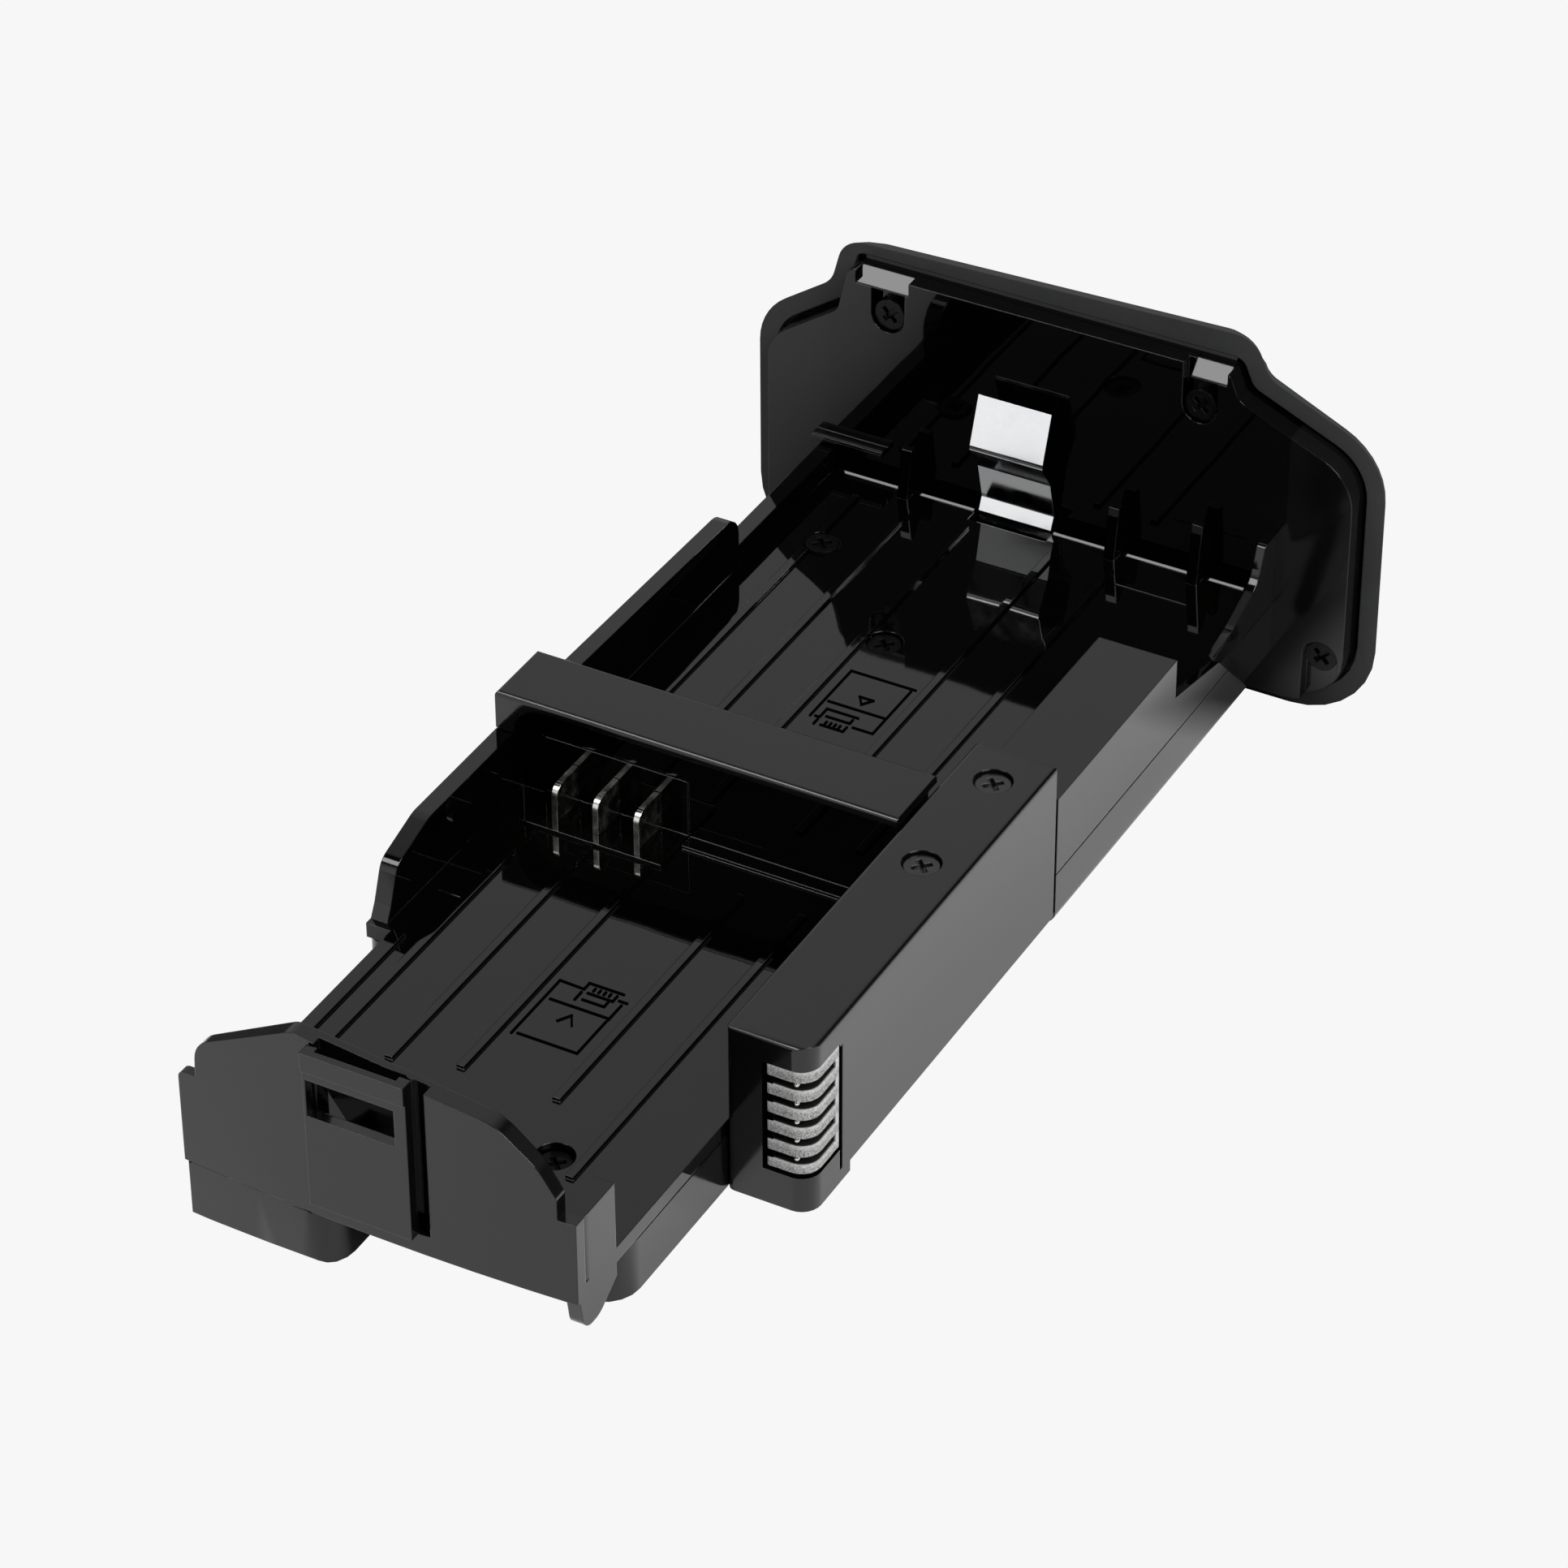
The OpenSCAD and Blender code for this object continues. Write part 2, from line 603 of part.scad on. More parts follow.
// Bridge over the divider wall, with its arched pillar on the left
module divider_bridge() color(satin) {
    arch = rounded([
        [y_bay_r + bridge_gap, z_wall, 0], [y_bay_l, z_wall, 3.4], [y_bay_l, z_floor + wing_h + gap, 0],
        [y_left, z_floor + wing_h + gap, 0], [y_left, z_bridge, 0.4], [y_bay_r + bridge_gap, z_bridge, 0]]);
    difference() {
        intersection() {
            along_x(arch, 0, divider_l);
            along_y(topped(0, divider_l, z_floor, z_bridge), y_bay_r, y_left);
        }
        box([wall_x0 - gap, y_bay_r, z_floor], [wall_x1 + gap, y_bay_l + 0.01, z_wall]);
    }
}

module housing_cover() color(satin) {
    difference() {
        intersection() {
            linear_extrude(housing_h) polygon(rounded([
                [x_h0, y_bay_r, 0.8], [x_h1, y_bay_r, 0.3], [x_h1, y_right, 0.3],
                [x_h0, y_right, housing_r]], 6));
            along_x(topped(y_right, y_bay_r, 0, housing_h), x_h0, x_h1);
            along_y(topped(x_h0, x_h1, 0, housing_h), y_right, y_bay_r);
        }
        // room inside, open downward behind the comb
        box([x_h0 + housing_t, y_right + housing_t, comb_z],
            [x_under, y_bay_r - housing_t, housing_h - housing_t]);
        box([x_under - gap, y_right + housing_t, -1],
            [x_h1 - housing_t, y_bay_r - housing_t, housing_h - housing_t]);
        // the inner side ends on the floor and the outer skirt just above the underside
        box([x_under - gap, y_right + housing_t, -1], [x_h1 + 1, y_bay_r + 1, z_floor + 0.05]);
        box([x_h0 + comb_x + 2, y_right - 1, -1], [x_h1 + 1, y_bay_r, skirt_z]);
        comb_pocket();
        // thin slit beside the comb
        box([x_h0 + comb_x, y_right - 1, 1.5], [x_h0 + comb_x + 0.5, y_right + 0.7, comb_z + comb_h - 0.3]);
        for (x = housing_screw_at)
            translate([x, y_housing, housing_h - 0.35]) screw_hole(8);
    }
    for (x = housing_screw_at)
        difference() {
            translate([x, y_housing, z_floor + 0.05])
                cylinder(d = 4.4, h = housing_h - housing_t - z_floor);
            translate([x, y_housing, housing_h - 0.35]) screw_hole(8);
        }
}

module comb_pocket() {
    box([x_h0 - 1, y_right - 1, comb_z], [x_h0 + comb_x, y_right + comb_y, comb_z + comb_h]);
}

// Light grey comb that wraps the corner: a core with fins, open between the fins
module terminal_comb() color([0.62, 0.62, 0.61]) {
    g = gap;
    outline = rounded([[x_h0, y_right + comb_y - g, 0.3], [x_h0, y_right, housing_r],
                       [x_h0 + comb_x - g, y_right, 0],
                       [x_h0 + comb_x - g, y_right + comb_y - g, 0]], 5);
    difference() {
        translate([0, 0, comb_z + g]) linear_extrude(comb_h - g) polygon(outline);
        for (i = [0:fin_count - 2])
            box([x_h0 - 1, y_right - 1, comb_z + fin_t + i * fin_pitch],
                [x_h0 + comb_x - 0.8, y_right + comb_y - 0.8, comb_z + (i + 1) * fin_pitch]);
    }
    // core behind the slots
    box([x_h0 + comb_back + contact_t, y_right + comb_back + contact_t, comb_z + g],
        [x_h0 + comb_x - g, y_right + comb_y - g, comb_z + comb_h]);
}

// Angled metal contact in each slot of the comb
module terminal_contacts() color([0.8, 0.78, 0.72]) {
    for (i = [0:fin_count - 2])
        translate([0, 0, comb_z + fin_t + i * fin_pitch + 0.15])
            linear_extrude(fin_pitch - fin_t - 0.3)
                polygon([[x_h0 + comb_back - 0.1, y_right + comb_back - 0.1],
                         [x_h0 + comb_x - 1.2, y_right + comb_back - 0.1],
                         [x_h0 + comb_x - 1.2, y_right + comb_back + contact_t - 0.15],
                         [x_h0 + comb_back + contact_t - 0.15, y_right + comb_back + contact_t - 0.15],
                         [x_h0 + comb_back + contact_t - 0.15, y_right + comb_y - 1.2],
                         [x_h0 + comb_back - 0.1, y_right + comb_y - 1.2]]);
}

// Long board inside the housing that joins the blades to the terminal comb
module circuit_board() color([0.10, 0.32, 0.18]) {
    y = y_bay_r - housing_t - 1.2;
    box([x_h0 + comb_x + 1, y, z_floor + 0.4], [housing_screw_at[0] - 3, y + 1, housing_h - housing_t - 1]);
}

// Flat strips under the floor from the contact blocks to the housing
module bus_strips() color([0.72, 0.6, 0.35]) {
    for (i = [0:2])
        box([wall_x0 + 1.15 + i * 0.8, y_bay_r - 3, base_h + 0.1],
            [wall_x0 + 1.6 + i * 0.8, bay_mid + blade_off + 4, base_h + 0.4]);
}

// Insulating block in the divider, with its low step in the bay; dir is -1 in the near bay
module contact_block(mid, dir) {
    face = dir < 0 ? wall_x0 : wall_x1;
    back = wall_x0 + divider_t / 2 + dir * gap / 2;
    difference() {
        union() {
            box([min(face, back), mid - block_w / 2, z_floor + gap],
                [max(face, back), mid + block_w / 2, z_floor + block_h]);
            box([min(face, face + dir * 5.3), mid - block_w / 2, z_floor + 0.02],
                [max(face, face + dir * 5.3), mid + block_w / 2, z_floor + rib_h]);
        }
        for (i = [-1:1])
            box([min(face, face - dir * 1.9), mid + i * blade_pitch - blade_t / 2 - 0.03, z_floor + rib_h],
                [max(face, face - dir * 1.9) + 0, mid + i * blade_pitch + blade_t / 2 + 0.03,
                 z_floor + rib_h + blade_h + 0.1]);
    }
}

module front_contact_block() color([0.08, 0.08, 0.085]) contact_block(bay_mid + blade_off, -1);

module rear_contact_block() color([0.08, 0.08, 0.085]) contact_block(bay_mid - blade_off, 1);

module blades(mid, dir) {
    face = dir < 0 ? wall_x0 : wall_x1;
    for (i = [-1:1])
        along_y(rounded([[face - dir * 1.8, z_floor + rib_h + 0.02, 0],
                         [face + dir * blade_l, z_floor + rib_h + 0.02, 0],
                         [face + dir * blade_l, z_floor + rib_h + blade_h, 1.2],
                         [face - dir * 1.8, z_floor + rib_h + blade_h, 0]]),
                mid + i * blade_pitch - blade_t / 2, mid + i * blade_pitch + blade_t / 2);
}

module front_contacts() color([0.82, 0.82, 0.8]) blades(bay_mid + blade_off, -1);

module rear_contacts() color([0.82, 0.82, 0.8]) blades(bay_mid - blade_off, 1);

module spring_pocket_cover() color(satin) {
    x0 = x_front - pocket_t;
    difference() {
        union() {
            box([x0, bay_mid - pocket_w / 2, pocket_z],
                [x_front, bay_mid + pocket_w / 2, pocket_z + pocket_h]);
            box([x0 - 0.25, bay_mid - pocket_w / 2, pocket_z + pocket_h - 2],
                [x0 + eps, bay_mid + pocket_w / 2, pocket_z + pocket_h]);
            box([x_front - eps, bay_mid - well_w / 2 + gap / 2, pocket_z + 0.9],
                [x_front + 1, bay_mid + well_w / 2 - gap / 2, pocket_z + 1.9]);
        }
        box([x0 - 1, window_y - window_w / 2, window_z],
            [x_front + 1, window_y + window_w / 2, window_z + window_h]);
        box([x0 + 0.5, bay_mid - well_w / 2 + 0.5, pocket_z + pocket_h - 2.2],
            [x_front + 1, bay_mid + well_w / 2 - 0.5, pocket_z + pocket_h + 1]);
    }
}

// Bends of the front spring, from its root in the slot down to its free tip
front_bends = path_pts([
    [front_pivot[0], front_pivot[1] + 0.9, 0], [front_pivot[0] + 0.1, front_pivot[1] - 2.4, 1.2],
    [x_front_in + 2.2, z_floor + 6.6, 1.8], [x_front_in + 0.9, z_floor + 3.1, 0]]);

module front_leaf_spring() color([0.86, 0.87, 0.88]) {
    along_y(strip(front_bends, spring_t), bay_mid - spring_w / 2, bay_mid + spring_w / 2);
}

// Bends of the rear spring, from its foot in the gap up to its free tip
rear_bends = path_pts([
    [rear_pivot[0], base_t + 0.3, 0], [rear_pivot[0], z_floor - 1.2, 1], [x_floor - 1, z_floor + 2.6, 1.1],
    [x_plate - 2.7, z_floor + 6.3, 1.2], [x_plate - 5.6, z_floor + 10.4, 1],
    [x_plate - 2.9, z_floor + 16.2, 0]]);

module rear_leaf_spring() color([0.88, 0.89, 0.9]) {
    along_y(strip(rear_bends, spring_t), bay_mid - spring_w / 2, bay_mid + spring_w / 2);
}

module cap_inner_plate() color(black) {
    difference() {
        union() {
            difference() {
                along_x(cap_outline(edge_in, rim_top), x_plate, x_rim + 1.2);
                along_x(cap_outline(edge_in + skirt_t, rim_top), x_plate + plate_t, x_rim + 3);
            }
            for (i = [0:3])
                screw_seat(cap_screw_at[i], i < 2 ? 1 : -1, seat_r + 1, x_plate + 0.5,
                           x_plate + seat_d + 1);
        }
        for (i = [0:3]) {
            screw_seat(cap_screw_at[i], i < 2 ? 1 : -1, seat_r, x_plate - 1, x_plate + seat_d);
            rod_x(x_plate, x_rim + skirt_t + 1, cap_screw_at[i][0], cap_screw_at[i][1], shank_d / 2 + 0.05);
        }
        // slanted lands in the top edge beside the upper screws
        for (y = land_at)
            along_y([[x_plate - 1, plate_top - land_h - land_h / plate_proud], [x_rim, plate_top],
                     [x_rim, plate_top + 2],
                     [x_plate - 1, plate_top + 2]], y[0], y[1]);
        // slots for the latch legs in the lower edge
        for (s = [-1, 1])
            box([x_slide0 - 0.1, s * leg_y - leg_w / 2 - slide_gap, cap_z0],
                [x_slide0 + slide_t + 0.1, s * leg_y + leg_w / 2 + slide_gap,
                 cap_z0 + edge_in + skirt_t + 1]);
        for (y = end_screw_at)
            rod_x(x_plate - 1, x_rim, y, end_screw_z, shank_d / 2 + 0.05);
    }
    // level rib beside the left rail
    box([x_plate - 1.3, gusset_at[0][0] + 3.4, ledge_z + 0.6], [x_plate + 0.2, y_left + 1, ledge_z + 1.2]);
}

seat_r = 1.9;
seat_d = 1.3;
land_at = [[16.6, 22.6], [-18.8, -14.8]];
land_h = 1.5;
plate_top = cap_z1 - rim_top - edge_in;

// Straight-sided seat that runs from a screw to the plate's edge, up or down
module screw_seat(at, dir, r, x0, x1) {
    intersection() {
        union() {
            rod_x(x0, x1, at[0], at[1], r);
            box([x0, at[0] - r, min(at[1], at[1] + dir * 12)],
                [x1, at[0] + r, max(at[1], at[1] + dir * 12)]);
        }
        along_x(cap_outline(edge_in, rim_top), x_plate - 2, x_rim + 2);
    }
}

module cap_shell() color([0.13, 0.13, 0.135]) {
    x_in = x_well - 1.6;
    difference() {
        union() {
            difference() {
                cap_dome();
                along_x(cap_outline(cap_t, rim_top), x_rim - 1, x_rim + 1.5);
                along_x(cap_outline(cap_t + 1.8, rim_top), x_rim, x_in);
            }
            // bosses, cut back beside the skirt of the inner plate
            for (at = cap_screw_at) {
                rod_x(x_rim + 1.4, x_in + 0.5, at[0], at[1], boss_d / 2);
                intersection() {
                    rod_x(x_plate + seat_d + 1, x_rim + 1.5, at[0], at[1], boss_d / 2);
                    along_x(cap_outline(edge_in + skirt_t + gap, rim_top), x_plate, x_rim + 2);
                }
            }
        }
        for (at = cap_screw_at)
            rod_x(x_plate, x_in - 0.8, at[0], at[1], shank_d / 2 + 0.05);
        rod_x(x_well, x_outer + 5, knob_y, knob_z, knob_r + slide_gap);
        rod_x(x_rim, x_outer + 5, knob_y, knob_z, shaft_r + run);
    }
}

// Knob with its shaft, a half-round seat for the folded handle and ears for its pin
module release_knob() color(black) {
    difference() {
        union() {
            rod_x(x_knob0, x_knob1, knob_y, knob_z, knob_r);
            rod_x(x_cam0 + cam_t, x_knob0 + eps, knob_y, knob_z, shaft_r);
        }
        // seat of the half-round handle, below its hinge
        intersection() {
            rod_x(x_knob1 - handle_t - 0.3, x_knob1 + 1, knob_y, knob_z, handle_r + slide_gap);
            box([x_knob1 - handle_t - 0.3, knob_y - knob_r, knob_z - knob_r],
                [x_knob1 + 1, knob_y + knob_r, knob_z + barrel_r + slide_gap]);
        }
        // room for the hinge barrel
        box([x_pin - barrel_r - slide_gap, knob_y - handle_r + 2.2, knob_z - barrel_r - slide_gap],
            [x_knob1 + 1, knob_y + handle_r - 2.2, knob_z + barrel_r + slide_gap]);
        // pin hole across the knob
        pin_line(pin_d / 2 + 0.01, knob_r + 1);
        // finger scoop at the handle's free edge
        translate([x_knob1 + 2.6, knob_y, knob_z - handle_r]) sphere(r = 4);
        // square end for the cam and its screw's hole
        rod_x(x_cam0, x_knob0 - 0.4, knob_y, knob_z, shank_d / 2 + 0.05);
    }
    // ears of the hinge, round below the pin so that the handle can swing past them
    for (s = [-1, 1])
        difference() {
            intersection() {
                translate([0, s * (handle_r - 0.7) + knob_y, 0]) ear();
                rod_x(x_knob0, x_knob1, knob_y, knob_z, knob_r - 0.1);
            }
            pin_line(pin_d / 2 + 0.01, knob_r + 1);
        }
}

// One ear, centred on Y = 0
module ear() {
    translate([x_pin, ear_w / 2, knob_z]) rotate([90, 0, 0]) cylinder(r = barrel_r, h = ear_w);
    box([x_knob1 - handle_t - 0.4, -ear_w / 2, knob_z - barrel_r],
        [x_pin, ear_w / 2, knob_z + barrel_r + 0.4]);
    box([x_pin - 0.1, -ear_w / 2, knob_z], [x_knob1, ear_w / 2, knob_z + barrel_r + 0.4]);
}

// Round bar or hole along the handle's hinge, to half length h on each side
module pin_line(r, h) {
    translate([x_pin, knob_y + h, knob_z]) rotate([90, 0, 0]) cylinder(r = r, h = 2 * h);
}

// Half-round handle folded flat into the knob, with its hinge barrel
module knob_handle() color(satin) {
    difference() {
        union() {
            intersection() {
                rod_x(x_knob1 - handle_t, x_knob1, knob_y, knob_z, handle_r);
                box([x_knob0, knob_y - knob_r, knob_z - knob_r],
                    [x_knob1 + 1, knob_y + knob_r, knob_z - barrel_r - slide_gap]);
            }
            pin_line(barrel_r, handle_r - 2.5);
            box([x_knob1 - handle_t, knob_y - handle_r + 2.5, knob_z - barrel_r - slide_gap - 0.1],
                [x_knob1 - 0.1, knob_y + handle_r - 2.5, knob_z]);
        }
        pin_line(pin_d / 2 + run, knob_r);
    }
}

module handle_pin() color([0.75, 0.76, 0.78]) {
    pin_line(pin_d / 2, handle_r + 0.4);
}

// Cam on the shaft's inner end, with the eccentric pin that drives the latch
module latch_cam() color([0.75, 0.73, 0.68]) {
    difference() {
        union() {
            rod_x(x_cam0, x_cam0 + cam_t, knob_y, knob_z, cam_r);
            rod_x(x_slide0 + 0.1, x_cam0 + eps, knob_y + cam_throw * cos(45),
                  knob_z + cam_throw * sin(45), cam_pin_r);
        }
        rod_x(x_cam0 - 1, x_cam0 + cam_t + 1, knob_y, knob_z, shank_d / 2 + 0.05);
    }
}

module cam_screw() color([0.6, 0.6, 0.62]) {
    rod_x(x_cam0 + 0.05, x_knob0 - 1, knob_y, knob_z, shank_d / 2);
}

module knob_washer() color([0.72, 0.73, 0.75]) {
    x0 = x_cam0 + cam_t + 0.05;
    difference() {
        rod_x(x0, x_well - 1.65, knob_y, knob_z, shaft_r + 1.6);
        rod_x(x0 - 1, x_well, knob_y, knob_z, shaft_r + 0.15);
    }
}

// Forked plate that the cam pushes down, with two tips in the plate's lower edge
module latch_slide() color([0.7, 0.7, 0.72]) {
    x1 = x_slide0 + slide_t;
    top = knob_z + 5;
    low = cap_z0 + edge_in + 0.1;
    difference() {
        union() {
            box([x_slide0, knob_y - leg_y - leg_w / 2, knob_z - 4], [x1, knob_y + leg_y + leg_w / 2, top]);
            for (s = [-1, 1])
                box([x_slide0, knob_y + s * leg_y - leg_w / 2, low],
                    [x1, knob_y + s * leg_y + leg_w / 2, knob_z]);
        }
        // level slot for the cam's pin
        box([x_slide0 - 1, knob_y - cam_throw - cam_pin_r - 0.4,
             knob_z + cam_throw * sin(45) - cam_pin_r - 0.15],
            [x1 + 1, knob_y + cam_throw + cam_pin_r + 0.4,
             knob_z + cam_throw * sin(45) + cam_pin_r + 0.15]);
    }
}

module housing_screws() color([0.12, 0.12, 0.12]) {
    for (x = housing_screw_at)
        translate([x, y_housing, housing_h - 0.35]) screw(8);
}

module floor_screws() color([0.12, 0.12, 0.12]) {
    for (s = floor_screw_at)
        translate([s[0], s[1], z_floor - s[2] + 0.6]) screw(5);
}

module cap_screws() color([0.12, 0.12, 0.12]) {
    for (at = cap_screw_at)
        translate([x_plate + seat_d - head_h, at[0], at[1]]) rotate([0, -90, 0]) screw(4.6);
}

module tray_end_screws() color([0.12, 0.12, 0.12]) {
    for (y = end_screw_at)
        translate([x_plate + plate_t + 0.3, y, end_screw_z]) rotate([0, 90, 0]) rod_screw(6);
}

// Headless threaded rod that ties the tray's end blocks to the plate
module rod_screw(length) {
    translate([0, 0, -length]) cylinder(d = shank_d, h = length);
}

tray_body();
base_cover();
divider_bridge();
housing_cover();
terminal_comb();
terminal_contacts();
circuit_board();
bus_strips();
front_contact_block();
rear_contact_block();
front_contacts();
rear_contacts();
spring_pocket_cover();
front_leaf_spring();
rear_leaf_spring();
cap_inner_plate();
cap_shell();
release_knob();
knob_handle();
handle_pin();
latch_cam();
cam_screw();
knob_washer();
latch_slide();
housing_screws();
floor_screws();
cap_screws();
tray_end_screws();
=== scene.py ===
import json
import math
import bpy
import bmesh
from mathutils import Matrix, Vector


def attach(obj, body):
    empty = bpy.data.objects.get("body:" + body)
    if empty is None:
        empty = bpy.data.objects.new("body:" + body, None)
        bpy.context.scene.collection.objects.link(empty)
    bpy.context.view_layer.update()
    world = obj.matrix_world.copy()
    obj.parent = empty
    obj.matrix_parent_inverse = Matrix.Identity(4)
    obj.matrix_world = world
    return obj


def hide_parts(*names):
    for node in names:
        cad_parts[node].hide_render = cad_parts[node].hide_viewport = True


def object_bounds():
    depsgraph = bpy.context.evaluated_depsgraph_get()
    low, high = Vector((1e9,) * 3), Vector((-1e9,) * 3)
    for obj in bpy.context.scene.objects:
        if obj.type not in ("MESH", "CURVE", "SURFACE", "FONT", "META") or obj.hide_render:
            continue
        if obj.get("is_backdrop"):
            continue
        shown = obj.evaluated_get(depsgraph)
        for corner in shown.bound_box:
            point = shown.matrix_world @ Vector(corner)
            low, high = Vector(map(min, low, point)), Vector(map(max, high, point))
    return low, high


# The object's lengths are in millimetres up to the point where a mesh or a node is made.
# The stage, the lamps and the camera are placed in metres.
MM = 0.001

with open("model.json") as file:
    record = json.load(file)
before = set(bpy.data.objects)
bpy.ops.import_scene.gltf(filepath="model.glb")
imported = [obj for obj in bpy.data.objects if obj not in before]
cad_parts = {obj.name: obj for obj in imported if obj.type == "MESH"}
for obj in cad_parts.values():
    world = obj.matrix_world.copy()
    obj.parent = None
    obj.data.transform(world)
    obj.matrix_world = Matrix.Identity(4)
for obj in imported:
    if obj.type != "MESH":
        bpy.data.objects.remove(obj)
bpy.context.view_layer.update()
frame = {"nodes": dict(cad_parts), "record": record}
nodes = frame["nodes"]


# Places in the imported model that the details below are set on

# floor of the bays, its far end, and the middle line of the bays
FLOOR_Z = 7.6
X_FLOOR_END = 64.5
BAY_MID = 3.4
# inner face of the front wall, and outer face of the tray's right side
X_FRONT_IN = -58.0
Y_RIGHT = -26.0
# top of the lower moulding
BASE_TOP = 6.0
# near corner of the terminal housing, and the slotted comb round it
X_COMB = -33.4
CORNER_R = 2.0
COMB_X = 5.4
COMB_Y = 4.7
COMB_Z = 4.2
COMB_PITCH = 2.1
FIN_T = 1.2
SLOTS = 5
SLOT_H = COMB_PITCH - FIN_T
COMB_H = SLOTS * COMB_PITCH + FIN_T
# inside of the end cap: its raised plate, its rim and the plate's top edge
X_PLATE = 66.0
X_RIM = 68.7
PLATE_TOP = 31.1
# level rib beside the left rail
RIB_X = X_PLATE - 1.3
RIB_TOP = FLOOR_Z + 3.4
# gussets, as (middle along Y, height over the floor); the foot of their fronts, and how far these lean
GUSSETS = [(15.4, 5.4), (-8.1, 5.7), (-17.3, 6.5)]
GUSSET_X = X_PLATE - 3.2
GUSSET_LEAN = 0.9
# rear spring
SPRING_W = 8.2
SPRING_T = 0.4


# Node helpers

def graph(name):
    """A new material with its node tree and output, emptied of everything else."""
    mat = bpy.data.materials.new(name)
    mat.use_nodes = True
    tree = mat.node_tree
    tree.nodes.clear()
    out = tree.nodes.new("ShaderNodeOutputMaterial")
    return mat, tree, out


def put(tree, kind, **inputs):
    """A new node; each input is a number, a colour or the output socket that feeds it."""
    node = tree.nodes.new(kind)
    for key, value in inputs.items():
        sock = node.inputs[key.replace("_", " ")]
        if isinstance(value, bpy.types.NodeSocket):
            tree.links.new(value, sock)
        else:
            sock.default_value = value
    return node


def calc(tree, op, a, b=0.5):
    """A math node on two numbers or sockets."""
    node = tree.nodes.new("ShaderNodeMath")
    node.operation = op
    for i, value in enumerate((a, b)):
        if isinstance(value, bpy.types.NodeSocket):
            tree.links.new(value, node.inputs[i])
        else:
            node.inputs[i].default_value = value
    return node.outputs[0]


def spread(tree, fac, low, high, start=0.0, end=1.0):
    """fac mapped from start..end to low..high, clamped."""
    node = put(tree, "ShaderNodeMapRange", From_Min=start, From_Max=end, To_Min=low, To_Max=high)
    tree.links.new(fac, node.inputs["Value"])
    return node.outputs["Result"]


def noise(tree, where, size, detail=3.0, roughness=0.55):
    """Noise whose features are about size mm across."""
    node = put(tree, "ShaderNodeTexNoise", Scale=1.0 / (size * MM), Detail=detail, Roughness=roughness)
    tree.links.new(where, node.inputs["Vector"])
    return node.outputs["Fac"]


def colour_mix(tree, fac, low, high):
    """A mix by fac of two colours, each given as three numbers or as a socket."""
    node = tree.nodes.new("ShaderNodeMix")
    node.data_type = "RGBA"
    tree.links.new(fac, node.inputs["Factor"])
    for key, value in (("A", low), ("B", high)):
        if isinstance(value, bpy.types.NodeSocket):
            tree.links.new(value, node.inputs[key])
        else:
            node.inputs[key].default_value = (*value, 1.0)
    return node.outputs["Result"]


def mix_shaders(tree, fac, first, second, out):
    """Sends first where fac is 0, and second where it is 1, to the output node."""
    mix = tree.nodes.new("ShaderNodeMixShader")
    tree.links.new(fac, mix.inputs[0])
    tree.links.new(first, mix.inputs[1])
    tree.links.new(second, mix.inputs[2])
    tree.links.new(mix.outputs[0], out.inputs["Surface"])


def surface(tree, dark, light, rough, grain=0.25, depth=0.004, smudge=14.0, metal=0.0, edge=0.15,
            warp=0.0, sheen=0.5):
    """A principled surface with smudges in tone and gloss, and a fine grain.

    dark and light are the tones it varies between, and rough is (least, most). grain and depth are the
    grain's size and height, smudge is the size of the smudges, edge is the radius that sharp edges are
    rounded to, and warp is the depth of the moulding's slow waves, all in mm. sheen is the specular
    level.
    """
    wave_size = 9.0
    where = tree.nodes.new("ShaderNodeTexCoord").outputs["Object"]
    cloud = noise(tree, where, smudge, detail=4.0)
    fine = noise(tree, where, grain, detail=2.0)
    tone = colour_mix(tree, calc(tree, "MULTIPLY", cloud, calc(tree, "ADD", fine, 0.5)), dark, light)
    mottle = calc(tree, "ADD", cloud, calc(tree, "MULTIPLY", fine, 0.25))
    gloss = spread(tree, mottle, rough[0], rough[1], start=0.42, end=0.82)
    soft = put(tree, "ShaderNodeBevel", Radius=edge * MM)
    soft.samples = 4
    slow = noise(tree, where, wave_size, detail=1.0)
    wave = put(tree, "ShaderNodeBump", Strength=1.0, Distance=warp * MM, Height=slow,
               Normal=soft.outputs["Normal"])
    bump = put(tree, "ShaderNodeBump", Strength=1.0, Distance=depth * MM, Height=fine,
               Normal=wave.outputs["Normal"])
    node = put(tree, "ShaderNodeBsdfPrincipled", Base_Color=tone, Roughness=gloss, Metallic=metal,
               Specular_IOR_Level=sheen, Normal=bump.outputs["Normal"])
    return node.outputs["BSDF"], where


def simple(name, look):
    """A material that is one surface all over."""
    mat, tree, out = graph(name)
    tree.links.new(surface(tree, **look)[0], out.inputs["Surface"])
    return mat
